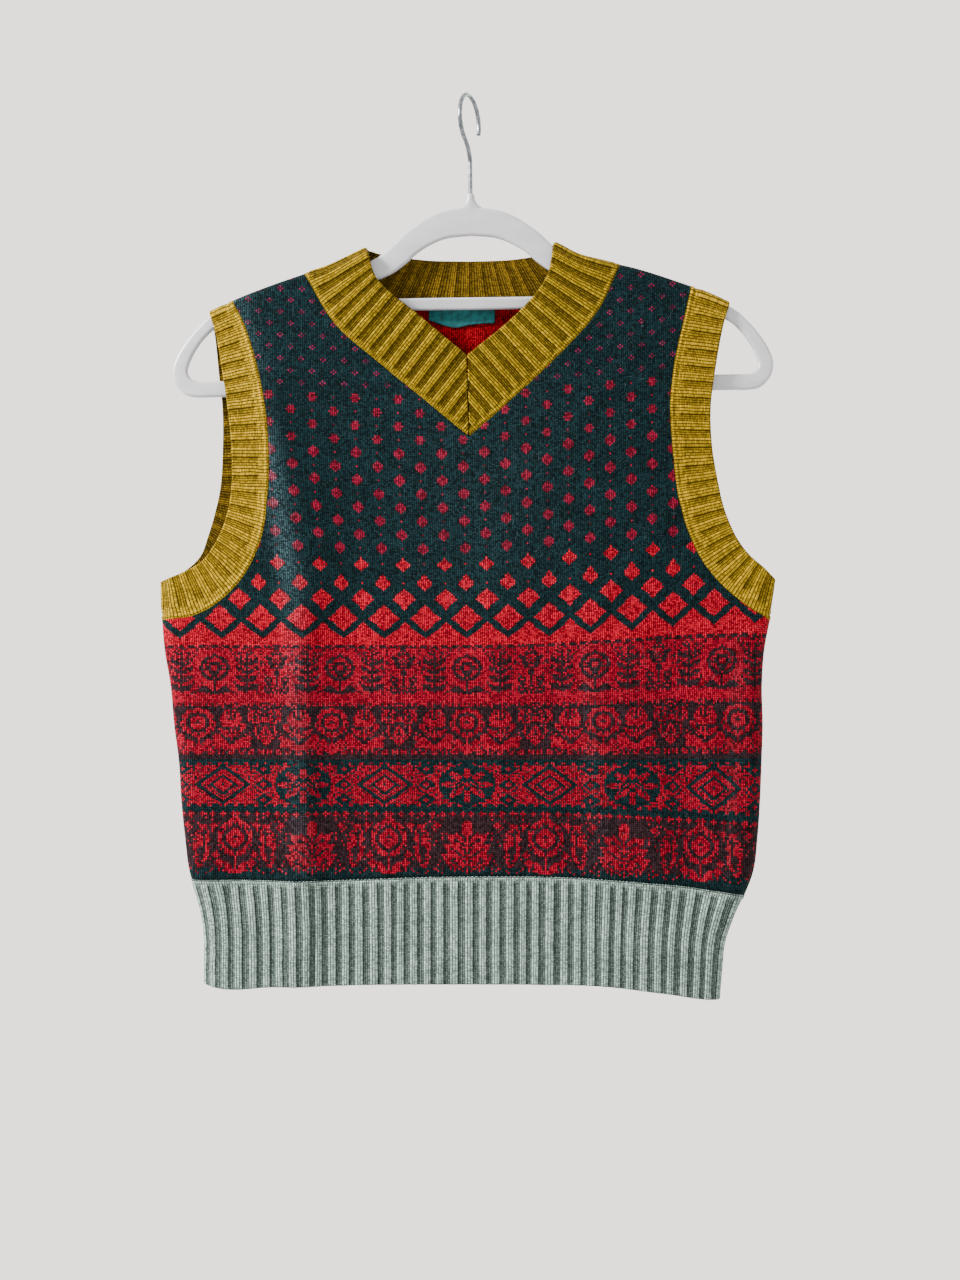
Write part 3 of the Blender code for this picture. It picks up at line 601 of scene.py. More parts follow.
def folded(distance, turn):
    """How open the wall is at a distance from a folded edge: 0 on the edge, 1 past the turn."""
    part = np.minimum(distance / turn, 1.0)
    return part * (2.0 - part)


def fold_height(x, z, face, folds=FOLDS):
    height = 0.0
    for fold in folds:
        length = fold.z_top - fold.z_foot
        along = (fold.z_top - z) / length
        middle = fold.x_top + (fold.x_foot - fold.x_top) * along
        beyond = np.maximum(np.maximum(-along, along - 1.0), 0.0) * length
        soft = np.exp(-(((x - middle) / fold.width) ** 2) - (beyond / FOLD_FADE) ** 2)
        height = height + fold.height * soft * (face == fold.face)
    return height


def depth_squared(x, z, face):
    """Square of the inner wall's distance from the hanger's plane. It is 0 on the folded edges."""
    below = crown_z(x) - z
    turn = through(CROWN[:, 0], CROWN[:, 2], x)
    free = np.where(face == FRONT, looked_up(DEPTHS, "front", x), looked_up(DEPTHS, "back", x))
    open_depth = turn + (free - turn) * (1.0 - np.exp(-np.maximum(below, 0.0) / HANG_EASE))
    open_depth = open_depth + fold_height(x, z, face)
    inside = np.minimum(x - side_x(z, -1), side_x(z, 1) - x)
    return open_depth**2 * folded(below, turn) * folded(inside, SIDE_TURN)


def wall_point(x, z, face, seam=0.0):
    """The inner wall's points at x, z and the directions out of the cloth there."""
    probe = 0.1
    depth = np.sqrt(np.maximum(depth_squared(x, z, face), 0.0))
    along_x = (depth_squared(x + probe, z, face) - depth_squared(x - probe, z, face)) / (2 * probe)
    along_z = (depth_squared(x, z + probe, face) - depth_squared(x, z - probe, face)) / (2 * probe)
    out = np.stack(np.broadcast_arrays(-along_x, 2.0 * face * depth, -along_z), axis=-1)
    return np.stack(np.broadcast_arrays(x, face * (depth + seam), z), axis=-1), unit(out)


def read(side, x_name, z_name, at, first=0, last=UNDERARM):
    """A line of the station table, smooth between its first and last rows."""
    rows = STATIONS[side][first : last + 1]
    places = list(range(first, last + 1))
    xs = column(rows, x_name)
    zs = column(rows, z_name)
    xs = [float(side_x(z, side)) if x is None else x for x, z in zip(xs, zs)]
    zs = [float(crown_z(x)) if z is None else z for x, z in zip(xs, zs)]
    x = through(places, xs, at)
    return x, np.where(at == 0, crown_z(x), through(places, zs, at))


def middle_x(z):
    """The line down the middle, plumb at the V and midway between the sides at the hem."""
    v_tip = STATIONS[-1][V_TIP].neck_z
    part = np.clip((v_tip - z) / (v_tip - UNDERARM_Z), 0.0, 1.0)
    return part * (side_x(z, -1) + side_x(z, 1)) / 2


def armhole_line(side, face, name, at):
    """The armhole's seam or the free edge of its band. The back's stand out beyond the front's."""
    seam = np.stack(read(side, "seam_x", "seam_z", at), axis=-1)
    edge = np.stack(read(side, "edge_x", "edge_z", at), axis=-1)
    out = through(range(UNDERARM + 1), column(STATIONS[side], "back_out"), at)
    out = np.where((at == 0) | (at == UNDERARM) | (face == FRONT), 0.0, out)
    line = (seam if name == "seam" else edge) + unit(edge - seam) * out[..., None]
    return line[..., 0], line[..., 1]


def neck_line(side, face, at):
    """The panel's inner line: the neck seam down to the middle, then the middle line."""
    names = ("neck_x", "neck_z") if face == FRONT else ("yoke_x", "yoke_z")
    corner = V_TIP if face == FRONT else NAPE
    x, z = read(side, *names, np.minimum(at, corner), 0, corner)
    z_below = read(side, *names, np.maximum(at, corner), corner, UNDERARM)[1]
    return np.where(at <= corner, x, middle_x(z_below)), np.where(at <= corner, z, z_below)


def between(start, end, part, side):
    """Points between two in the flat, bent to follow the crown and the side where they are near."""
    x = start[0] + (end[0] - start[0]) * part
    z = start[1] + (end[1] - start[1]) * part
    drop_start = crown_z(start[0]) - start[1]
    drop_end = crown_z(end[0]) - end[1]
    drop = drop_start + (drop_end - drop_start) * part
    near = np.exp(-np.maximum(drop, 0.0) / BORDER_REACH)
    z = z * (1 - near) + (crown_z(x) - drop) * near
    gap_start = side * (side_x(start[1], side) - start[0])
    gap_end = side * (side_x(end[1], side) - end[0])
    gap = gap_start + (gap_end - gap_start) * part
    near = np.exp(-np.maximum(gap, 0.0) / BORDER_REACH)
    x = x * (1 - near) + (side_x(z, side) - side * gap) * near
    return x, z


def body_point(part, down, side):
    """A point below the underarms: part is 0 at the side and 1 in the middle."""
    across = part / 2 if side < 0 else 1 - part / 2
    foot = looked_up(WELT, "seam_z", across)
    z = UNDERARM_Z + (foot - UNDERARM_Z) * down
    return side_x(z, -1) + (side_x(z, 1) - side_x(z, -1)) * across, z


def piece_of(name, points, faces, corners, look):
    """An object of points in millimetres and faces, with the map of stitches at their corners."""
    mesh = bpy.data.meshes.new(name)
    mesh.from_pydata((points * MM).tolist(), [], faces)
    layer = mesh.uv_layers.new(name="stitches")
    layer.data.foreach_set("uv", np.array(corners, np.float32).reshape(-1))
    mesh.materials.append(look)
    return linked(name, mesh)


def shell(name, outer, inner, quads, uvs, look, lining=None):
    """A closed shell: outer and inner sheets of the same quads, and a rim round their border."""
    count = len(outer)
    starts = quads.reshape(-1)
    ends = np.roll(quads, -1, axis=1).reshape(-1)
    border = np.flatnonzero(~np.isin(starts * count + ends, ends * count + starts))
    a, b = starts[border], ends[border]
    uv_a = uvs.reshape(-1, 2)[border]
    uv_b = np.roll(uvs, -1, axis=1).reshape(-1, 2)[border]
    rim = np.stack((b, a, a + count, b + count), 1)
    faces = np.concatenate((quads, quads[:, ::-1] + count, rim))
    corners = np.concatenate((uvs, uvs[:, ::-1], np.stack((uv_b, uv_a, uv_a, uv_b), 1)))
    made = piece_of(name, np.concatenate((outer, inner)), faces.tolist(), corners, look)
    made.data.shade_smooth()
    if lining:
        made.data.materials.append(lining)
        sheet = np.repeat((0, 1, 0), (len(quads), len(quads), len(border))).astype(np.int32)
        made.data.polygons.foreach_set("material_index", sheet)
    return made


def eased(low, high, value):
    part = np.clip((value - low) / (high - low), 0.0, 1.0)
    return part * part * (3 - 2 * part)


# Depth below the origin in millimetres, and the row of the pattern that lies there.
ROW_AT = (
    (0, 10.1),
    (339.6, 283),
    (345.2, 288.3),
    (370.9, 309.9),
    (385.2, 322.2),
    (398.5, 334.6),
    (405.2, 341.3),
    (450.3, 377.4),
    (488, 407.3),
    (526.5, 443.1),
    (531.7, 446.8),
    (571.7, 474.5),
    (600, 498),
)
# How much lower or higher than level the rows run at some places across, for each depth.
DRIFT_X = (-205, -150, -90, 0, 60, 100, 150, 205)
DRIFT = (
    (200, (-5, -3, -0.5, 0, -6, -9.8, -14.5, -19)),
    (334, (-5, -3, -0.5, 0, -5, -8.6, -12.5, -17)),
    (352, (-1, -0.5, 0, 0, -2.5, -6.2, -10.3, -14)),
    (385, (0, 0, 0, 0, -1.7, -5, -9.6, -12)),
    (405, (0, 0, 0, 0, -1.5, -3.4, -5.9, -6.4)),
    (446, (0, 0, 0, 0, -0.6, -1.5, -2.8, -3.2)),
    (490, (0, 0, 0, 0, 0, 0, -0.3, -0.3)),
    (535, (0, 0, 0, 0, 0.3, 1.5, 4.5, 8)),
    (574, (0, 0, 0, 0, 0.5, 2, 5, 8)),
)


def pattern_drift(x, z):
    """How much lower than level, in millimetres, the pattern's rows run at a place."""
    depths = [depth for depth, _ in DRIFT]
    drift = 0.0
    for i, (_, row) in enumerate(DRIFT):
        weight = np.interp(-z, depths, np.eye(len(DRIFT))[i])
        drift = drift + weight * through(DRIFT_X, row, np.clip(x, DRIFT_X[0], DRIFT_X[-1]))
    return drift


def turned_away(points, axis):
    """The length of cloth, from each point of a grid to its last one, that turns out of sight."""
    step = np.diff(points, axis=axis)
    hidden = np.linalg.norm(step, axis=2) - np.linalg.norm(step[..., ::2], axis=2)
    summed = np.flip(np.cumsum(np.flip(hidden, axis), axis), axis)
    return np.concatenate((summed, np.zeros_like(summed.take([0], axis))), axis)


def panel(name, face, look):
    """A jersey panel: its rows run from each armhole and side to the middle."""
    corner = V_TIP if face == FRONT else NAPE
    crown_rows = np.linspace(0.0, 1.0, CROWN_STEPS) ** 2
    rows = np.concatenate((crown_rows, np.linspace(1.0, UNDERARM, ARMHOLE_STEPS)[1:]))[:, None]
    columns = (np.linspace(0.0, 1.0, ACROSS_STEPS) ** 1.6)[None, :]
    downs = np.linspace(0.0, 1.0, BODY_STEPS)[1:, None]
    sides = []
    for side in (-1, 1):
        armhole = armhole_line(side, face, "seam", rows)
        yoke = between(armhole, neck_line(side, face, rows), columns, side)
        body = body_point(columns, downs, side)
        x = np.concatenate((yoke[0], body[0]))
        z = np.concatenate((yoke[1], body[1]))
        points, out = wall_point(x, z, face, SEAM_GAP / 2)
        # Cloth that turns away at the crown and sides keeps its length, and so do its stitches.
        near_crown = np.exp(-np.maximum(crown_z(x) - z, 0.0) / CROWN_FADE)
        at = x + side * turned_away(points, 1)
        chest = (at - CHEST_AXIS) / np.where(at < CHEST_AXIS, LEFT_CHEST_WALE, RIGHT_CHEST_WALE)
        wales = (at - PATTERN_AXIS) / WALE
        wales += (chest - wales) * (1 - eased(*CHEST_FADE, -z))
        depth = -(z + turned_away(points, 0) * near_crown + pattern_drift(x, z))
        courses = np.interp(depth, *zip(*ROW_AT))
        stitches = np.stack((wales, courses), 2)
        grid = np.concatenate((points, points + out * JERSEY_WALL, stitches), 2)
        sides.append(grid if side < 0 else grid[:, ::-1])
    grid = np.concatenate(sides, axis=1)
    index = np.arange(grid.shape[0] * grid.shape[1]).reshape(grid.shape[:2])
    half = columns.shape[1]
    joined = np.append(rows[:, 0] >= corner, np.ones(len(downs), bool))
    index[joined, half] = index[joined, half - 1]
    quads = np.delete(cells(index), half - 1, axis=1).reshape(-1, 4)
    if face == FRONT:
        quads = quads[:, ::-1]
    flat = grid.reshape(-1, 8)
    used, quads_kept = np.unique(quads, return_inverse=True)
    quads_kept = quads_kept.reshape(quads.shape)
    made = shell(name, flat[used, 3:6], flat[used, :3], quads_kept, flat[quads, 6:], look, reverse)
    # How strongly the painted sheen shows at each point of the outer sheet; the inner sheet has
    # none.
    painted_sheen = fold_height(flat[used, 3], flat[used, 5], face, PAINTED_SHEEN_CRESTS)
    painted_sheen = np.append(painted_sheen, np.zeros_like(painted_sheen)).astype(np.float32)
    made.data.attributes.new("painted_sheen", "FLOAT", "POINT").data.foreach_set("value", painted_sheen)
    return made


# The colourwork, charted stitch by stitch: 1 is red and 0 is teal. Each chart is one section of
# the pattern and half of its repeat, which mirrors at its first and its last column. Each comes
# with the row and the column of every stitch in it.
def canvas(rows, last_column):
    chart = np.zeros((rows, last_column + 1), int)
    return chart, *np.indices(chart.shape)


draw = np.random.default_rng(11)


def tone(chart, spots, shade):
    """Knits spots teal or red, or mixes the two by chance with half or most of the stitches red."""
    share = {"teal": 0.0, "half": 0.5, "most": 0.81, "red": 1.0}[shade]
    chart[spots] = (draw.random(chart.shape) < share)[spots]


def rings(chart, col, row, *sizes):
    """Ovals about one stitch, each with its half width, half height and shade."""
    y, x = np.indices(chart.shape)
    for wide, high, shade in sizes:
        tone(chart, ((x - col) / wide) ** 2 + ((y - row) / high) ** 2 <= 1.0, shade)


def stroke(chart, points, width, shade):
    """A line of stitches through points of columns and rows."""
    y, x = np.indices(chart.shape)
    for (x0, y0), (x1, y1) in zip(points, points[1:]):
        length = (x1 - x0) ** 2 + (y1 - y0) ** 2
        part = np.clip(((x - x0) * (x1 - x0) + (y - y0) * (y1 - y0)) / length, 0.0, 1.0)
        away = np.hypot(x - x0 - part * (x1 - x0), y - y0 - part * (y1 - y0))
        tone(chart, away <= width / 2, shade)


def leaf(chart, col, row, length, wide, turn, shade):
    y, x = np.indices(chart.shape)
    turn = math.radians(turn)
    along = ((x - col) * math.cos(turn) + (y - row) * math.sin(turn)) / length
    across = (y - row) * math.cos(turn) - (x - col) * math.sin(turn)
    inside = (np.abs(along - 0.5) <= 0.5) & (np.abs(across) <= wide * 4 * along * (1 - along))
    tone(chart, inside, shade)


def diamond(chart, col, row, wide, high, shade):
    y, x = np.indices(chart.shape)
    tone(chart, np.abs(x - col) / wide + np.abs(y - row) / high <= 1.0, shade)


def strayed(chart):
    """A dense band, where some red shows through between the teal stitches."""
    return np.maximum(chart, draw.random(chart.shape) < 0.07)


Section = namedtuple("Section", "first last chart repeat")
sections = []

# Pin dots on the shoulders and chest, then growing dots with a pin dot between each two.
dots, y, x = canvas(14, 5)
for col, row in ((0, 3), (5, 10)):
    tone(dots, np.abs(x - col) + np.abs(y - row) == 1, "red")
sections.append(Section(60, 185, dots, 14))
for first, last, wide, high in ((186, 217, 2.2, 2.9), (218, 249, 2.6, 3.3), (250, 282, 2.9, 3.7)):
    dots, y, x = canvas(16, 10)
    for col, row in ((0, 12), (10, 4)):
        tone(dots, (np.abs(x - col) / wide) ** 1.3 + (np.abs(y - row) / high) ** 1.3 <= 1.0, "red")
    dots[4, 0] = dots[12, 10] = 1
    sections.append(Section(first, last, dots, 16))

# Growing diamonds over a row of triangles, with a thin teal zigzag between them.
gems, y, x = canvas(58, 10)
for gem in ((10, 5.3, 3.7, 4.4), (0, 16.7, 4.1, 4.9), (10, 26.8, 5.7, 6.4), (0, 39.0, 7.3, 8.8)):
    diamond(gems, *gem, "red")
gems[5, 0] = gems[17, 10] = 1
tone(gems, (y >= 41.6) & (y <= 54) & ((y - 41.6) * 0.88 >= 10 - x), "red")
tone(gems, y >= 53, "red")
sections += [Section(283, 312, gems[:30], 0), Section(313, 340, gems[30:], 0)]

# A band of haloed ring flowers, ferns and small rings, in teal lines on mostly red.
band, y, x = canvas(32, 31)
tone(band, band == 0, "most")
rings(band, 0, 12, (9.6, 10.6, "red"))
rings(band, 0, 13, (7.2, 8.0, "teal"), (5.4, 6.0, "most"), (3.4, 3.8, "teal"), (1.7, 1.9, "red"))
stroke(band, [(0, 21), (0, 28)], 1.3, "teal")
leaf(band, 0, 28, 9, 2.0, -24, "teal")
stroke(band, [(16, 28), (16, 5)], 1.3, "teal")
for row in (12, 17, 22, 27):
    for turn in (-42, -138):
        leaf(band, 16, row, 7.5, 1.6, turn, "teal")
rings(band, 31, 9, (4.6, 5.0, "teal"), (2.9, 3.2, "half"), (1.1, 1.3, "teal"))
stroke(band, [(31, 14), (31, 28)], 1.3, "teal")
for row in (20, 26):
    diamond(band, 26.5, row, 2.4, 2.8, "teal")
    diamond(band, 26.5, row, 0.8, 0.9, "red")
tone(band, (y <= 1) & (x % 5 < 3), "teal")
tone(band, y >= 29, "red")
sections.append(Section(341, 372, strayed(band), 0))

# A band of tulips, sprigs and wheels in red on teal, under a fringed stripe.
band, y, x = canvas(32, 33)
tone(band, y < 2, "red")
tone(band, (y >= 2) & (y < 4) & (x % 3 != 1), "most")
rings(band, 0, 13, (8.0, 8.6, "most"), (5.6, 6.0, "teal"), (3.8, 4.1, "red"), (1.1, 1.3, "teal"))
stroke(band, [(0, 21), (0, 29)], 1.6, "most")
leaf(band, 0, 29, 10, 2.6, -34, "most")
rings(band, 16, 10.6, (5.2, 5.4, "red"))
for lean in (-1, 0, 1):
    stroke(band, [(16 + lean * 3.0, 5.0), (16 + lean * 1.4, 11.0)], 1.0, "teal")
stroke(band, [(16, 16), (16, 29)], 1.8, "most")
for turn in (-40, -140):
    leaf(band, 16, 29, 13, 2.6, turn, "red")
    leaf(band, 16, 22, 8, 1.8, turn, "most")
rings(band, 28, 9.5, (3.9, 4.3, "most"), (1.6, 1.8, "teal"))
stroke(band, [(28, 14), (28, 20), (33, 26)], 1.3, "most")
diamond(band, 33, 20, 4.4, 5.4, "most")
diamond(band, 33, 20, 1.6, 2.0, "teal")
for col, row in ((9, 21), (24, 26), (9, 27), (22, 15), (33, 11)):
    tone(band, (np.abs(x - col) <= 1) & (np.abs(y - row) <= 1), "red")
tone(band, (y >= 29) & (x % 5 < 3), "most")
sections.append(Section(373, 404, strayed(band), 0))

# A band of eight-pointed stars between nested lozenges, with a column of small ones beside them.
band, y, x = canvas(32, 40)
tone(band, (y >= 1) & (y <= 30), "most")
middle = 15.5
away = np.hypot(x, y - middle)
around = np.arctan2(y - middle, x)
tone(band, away <= 13.8, "teal")
tone(band, away <= 12.4 * (0.74 + 0.26 * np.cos(8 * around)), "most")
for ray in np.radians(22.5 + 45 * np.arange(8)):
    stroke(band, [(0, middle), (11 * math.cos(ray), middle + 11 * math.sin(ray))], 0.9, "teal")
rings(band, 0, middle, (1.6, 1.6, "red"))
for wide, shade in ((14.0, "teal"), (11.4, "most"), (7.0, "teal"), (4.6, "red"), (1.4, "teal")):
    diamond(band, 40, middle, wide, wide, shade)
for row in (5.0, middle, 26.0):
    diamond(band, 20, row, 4.2, 4.2, "teal")
    diamond(band, 20, row, 1.6, 1.6, "red")
tone(band, ((y <= 2) | (y >= 29)) & (x % 5 < 3), "teal")
sections.append(Section(409, 440, band, 0))

# A band of wheels, leafy sprays and pods in red on teal, under a row of small dots.
band, y, x = canvas(32, 38)
tone(band, (y <= 2) & (np.abs((x % 5) - 2) + np.abs(y - 1) <= 1), "red")
leaf(band, 0, 14, 10, 2.6, -90, "red")
for row, length, shade in ((18, 12, "most"), (24, 14, "red"), (30, 15, "most")):
    leaf(band, 0, row, length, 3.0, -34, shade)
    leaf(band, 0, row, length - 3, 0.7, -34, "teal")
stroke(band, [(0, 12), (0, 31)], 1.6, "most")
leaf(band, 20.5, 29, 24, 4.4, -84, "most")
leaf(band, 20.9, 27, 19, 1.8, -84, "teal")
rings(band, 21.4, 15, (1.3, 2.8, "red"))
rings(band, 38, 13.5, (8.8, 9.4, "most"), (6.2, 6.6, "teal"), (4.4, 4.7, "red"), (1.4, 1.5, "teal"))
stroke(band, [(38, 22), (38, 31)], 1.6, "most")
leaf(band, 38, 31, 13, 2.6, -150, "most")
for col, row in ((14.5, 7), (27.5, 7), (28.5, 22)):
    diamond(band, col, row, 1.9, 2.2, "red")
sections.append(Section(443, 474, strayed(band), 0))


Knit = namedtuple("Knit", "place stitch aside row height")


def knit(tree, wobble):
    """Stitches on a map of wales across and courses down, which uneven tension shifts a little.

    Gives the place on the map, the stitch and the row that it lies in, how far it is from the
    middle of its wale, and the height of the yarn there.
    """
    place = add(tree, "UVMap", uv_map="stitches")
    uneven = noise(tree, place, 0.11, 2.0)
    centred = add(tree, "VectorMath", [uneven.outputs["Color"], (0.5,) * 3], operation="SUBTRACT")
    shift = add(tree, "VectorMath", [centred, (wobble,) * 3, place], operation="MULTIPLY_ADD")
    axes = add(tree, "SeparateXYZ", [shift])
    stitch = add(tree, "ROUND", [axes.outputs[0]])
    aside = add(tree, "SUBTRACT", [axes.outputs[0], stitch])
    aside = add(tree, "ABSOLUTE", [aside])
    down = add(tree, "ADD", [axes.outputs[1], aside])
    row = add(tree, "FLOOR", [down])
    across = add(tree, "FRACT", [down])
    # The yarn is round across each leg of a stitch. It dips a little between the two legs of a
    # stitch, and deeply between wales.
    rest = add(tree, "SUBTRACT", [1.0, across])
    product = add(tree, "MULTIPLY", [across, rest])
    product = add(tree, "MULTIPLY", [product, 4.0])
    leg_round = add(tree, "SQRT", [product])
    turn = add(tree, "MULTIPLY", [aside, 2 * math.pi])
    leg = add(tree, "SINE", [turn])
    leg = add(tree, "MULTIPLY_ADD", [leg, 0.6, 0.75])
    leg = add(tree, "MULTIPLY_ADD", [aside, -1.5, leg])
    height = add(tree, "MULTIPLY", [leg_round, leg])
    return Knit(place, stitch, aside, row, height)


def yarn(tree, cloth, base, flecks, relief, ribs=None):
    """Wool spun from dyed fibres: a base colour that varies by stitch, with flecks and fuzz.
    Painted shade darkens it where the yarn dips, between courses, a little between the two legs of
    a stitch and most between wales, and a painted highlight lightens the middle of each wale.

    In a rib the last three wales of each six are sunken: ribs gives the painted light or shade on
    the raised wales and on the sunken ones, and a painted dark groove runs where they meet. The
    plain rows by the seam have none of this and are a little lighter.
    """
    place, stitch, aside, row, height = cloth
    cell = add(tree, "CombineXYZ", [stitch, row])
    chance = add(tree, "TexWhiteNoise", {"Vector": cell})
    dimmest, lightest = (0.56, 1.44) if ribs else (0.34, 1.62)
    uneven = remap(tree, chance.outputs["Value"], (0.0, 1.0), (dimmest, lightest))
    broad = noise(tree, place, 0.05, 3.0)
    broad = remap(tree, broad, (0.3, 0.7), (0.86, 1.14))
    fibre_map = add(tree, "Mapping", {0: place, 3: (5.0, 1.6, 1.0)})
    fibres = noise(tree, fibre_map, 1.3, 4.0, 0.7)
    fibre_light = remap(tree, fibres, (0.3, 0.7), (0.6, 1.4))
    # Painted shade where the yarn dips between courses, between the legs of a stitch and between
    # wales.
    depth = remap(tree, height, (0.0, 1.0), (0.1, 1.5))
    wale_chance = add(tree, "TexWhiteNoise", {"W": stitch}, noise_dimensions="1D")
    streak = remap(tree, wale_chance.outputs["Value"], (0.0, 1.0), (0.9, 1.1))
    depth = add(tree, "MULTIPLY", [depth, streak])
    # A painted highlight on the middle of each wale and painted shade at its edges.
    painted_wale_shading = remap(tree, aside, (0.12, 0.48), (1.22, 0.5))
    depth = add(tree, "MULTIPLY", [depth, painted_wale_shading])
    if ribs:
        phase = add(tree, "SeparateXYZ", [place])
        phase = add(tree, "ADD", [phase.outputs[0], 0.5])
        phase = add(tree, "FLOORED_MODULO", [phase, float(RIB_WALES)])
        away = add(tree, "SUBTRACT", [phase, 1.5])
        away = add(tree, "ABSOLUTE", [away])
        # Painted light or shade on the raised and the sunken wales, with a painted dark groove
        # where they meet.
        shade = remap(tree, away, (1.35, 1.7), (ribs[0], ribs[1]))
        painted_groove_shade = add(tree, "SUBTRACT", [away, 1.7])
        painted_groove_shade = add(tree, "ABSOLUTE", [painted_groove_shade])
        painted_groove_shade = remap(tree, painted_groove_shade, (0.1, 0.45), (0.45, 1.0))
        shade = add(tree, "MULTIPLY", [shade, painted_groove_shade])
        # The plain rows by the seam get none of the rib's painted shade and are a little lighter.
        plain = remap(tree, row, (2.0, 4.0), (0.0, 1.0))
        shade = add(tree, "Mix", {0: plain, 2: 1.15, 3: shade}, data_type="FLOAT")
        depth = add(tree, "MULTIPLY", [depth, shade])
    light = uneven
    for share in (broad, fibre_light, depth):
        light = add(tree, "MULTIPLY", [light, share])
    fleck_place = noise(tree, place, 2.3, 2.0, 0.8)
    fleck = remap(tree, fleck_place, (0.56, 0.7), (0.0, 0.55))
    spun = mixed(tree, fleck, base, flecks)
    colour = add(tree, "VectorMath", {0: spun, "Scale": light}, operation="SCALE")
    lift = add(tree, "MULTIPLY_ADD", [fibres, 0.35, height])
    bump = add(tree, "Bump", {"Strength": 0.7, "Distance": relief, "Height": lift})
    surface(
        tree,
        {
            "Base Color": colour,
            "Roughness": 0.92,
            "IOR": 1.54,
            "Specular IOR Level": 0.03,
            "Sheen Weight": 0.02,
            "Sheen Roughness": 0.35,
            "Sheen Tint": linear("#c9d2da"),
            "Normal": bump,
        },
    )


# The reverse of the jersey: madder floats cover it, in fine upright lines.
reverse, tree = new_material("reverse of the jersey")
yarn(tree, knit(tree, 0.5), linear("#62020b"), linear("#38060b"), 0.0004)

# Lambswool jersey knitted in two yarns, deep teal and madder red: soft, matt and slightly hairy,
# each V of a stitch round, with flecks of the other dye in the yarn.
jersey, tree = new_material("lambswool colourwork jersey")
cloth = knit(tree, 0.8)
place, stitch, row = cloth.place, cloth.stitch, cloth.row
masks = (0.0, 0.0, 0.0)
repeat_column = 0.0
for section in sections:
    middle, reach = (section.first + section.last) / 2, (section.last - section.first) / 2
    inside = add(tree, "COMPARE", [row, middle, reach + 0.25])
    within = add(tree, "SUBTRACT", [row, float(section.first)])
    if section.repeat:
        within = add(tree, "FLOORED_MODULO", [within, float(section.repeat)])
    spot = add(tree, "MULTIPLY_ADD", [within, 1 / 32, 0.5 / 32])
    rows = add(tree, "ValToRGB", [spot])
    rows.color_ramp.interpolation = "CONSTANT"
    for i, line in enumerate(section.chart):
        if i >= 2:
            rows.color_ramp.elements.new(i / 32)
        rows.color_ramp.elements[i].position = i / 32
        words = (line[j : j + 16] for j in (0, 16, 32))
        bits = [int(sum(2**k for k, red in enumerate(word) if red)) for word in words]
        rows.color_ramp.elements[i].color = (*bits, 1.0)
    inside_all = add(tree, "CombineXYZ", [inside] * 3)
    masks = add(tree, "VectorMath", [rows, inside_all, masks], operation="MULTIPLY_ADD")
    half_repeat = float(section.chart.shape[1] - 1)
    across = add(tree, "PINGPONG", [stitch, half_repeat])
    repeat_column = add(tree, "MULTIPLY_ADD", [across, inside, repeat_column])
repeat_column = add(tree, "ROUND", [repeat_column])
third = add(tree, "MULTIPLY", [repeat_column, 1 / 16])
third = add(tree, "FLOOR", [third])
bits = add(tree, "SeparateXYZ", [masks])
word = 0.0
for i in range(3):
    chosen = add(tree, "COMPARE", [third, float(i), 0.25])
    word = add(tree, "MULTIPLY_ADD", [bits.outputs[i], chosen, word])
power = add(tree, "FLOORED_MODULO", [repeat_column, 16.0])
power = add(tree, "POWER", [2.0, power])
bit = add(tree, "DIVIDE", [word, power])
bit = add(tree, "FLOOR", [bit])
bit = add(tree, "FLOORED_MODULO", [bit, 2.0])
# Madder red is brighter in the rows of diamonds, bluer in the dots and dim in the pin dots. In
# the bands of flowers the dark yarn is a brown heather of both dyes.
madder = linear("#650315")
for test, rows, code in (
    ("COMPARE", (312.0, 29.5), "#780216"),
    ("LESS_THAN", (282.5,), "#53061a"),
    ("LESS_THAN", (185.5,), "#490b26"),
):
    madder = mixed(tree, add(tree, test, [row, *rows]), madder, linear(code))
flowers = add(tree, "COMPARE", [row, 373.5, 33.5])
last_flowers = add(tree, "COMPARE", [row, 457.5, 14.0])
flowers = add(tree, "ADD", [flowers, last_flowers])
teal = mixed(tree, flowers, linear("#031619"), linear("#1a1014"))
two_yarns = mixed(tree, bit, teal, madder)
# A pale bluish sheen is painted on the crests of folds, in patches.
sheen_mix = add(tree, "Attribute", attribute_name="painted_sheen")
patchy = noise(tree, place, 0.5, 4.0, 0.7)
patchy = remap(tree, patchy, (0.38, 0.66), (0.08, 0.3))
sheen_mix = add(tree, "MULTIPLY", [sheen_mix.outputs["Fac"], patchy])
sheen_mix = mixed(tree, sheen_mix, two_yarns, linear("#49646d"))
yarn(tree, cloth, sheen_mix, linear("#351b22"), 0.0006)

back = panel("back_panel", BACK, jersey)
placed(back, "back_knit", "back")


# Front ---------------------------------------------------------------------------------------
# The front panel: the same lambswool jersey and the same run of patterns as the back, with a
# deep V neck. It is linked to the back at the shoulders and down both sides.

front = panel("front_panel", FRONT, jersey)
placed(front, "front_knit", "front")


# Welts ---------------------------------------------------------------------------------------
# The front and back welts: sage wool knitted in a 3 by 3 rib, linked to the panels over a strip
# of chain stitches and meeting at the side seams. Their ribs are raised and draw the hem in.

RIB_WALL = 1.6
RIB_HEIGHT = 1.2
BAND_GAP = 0.6
RIB_WALES = 6
HEM_RIBS = 40
LEAN_REACH = 38.0
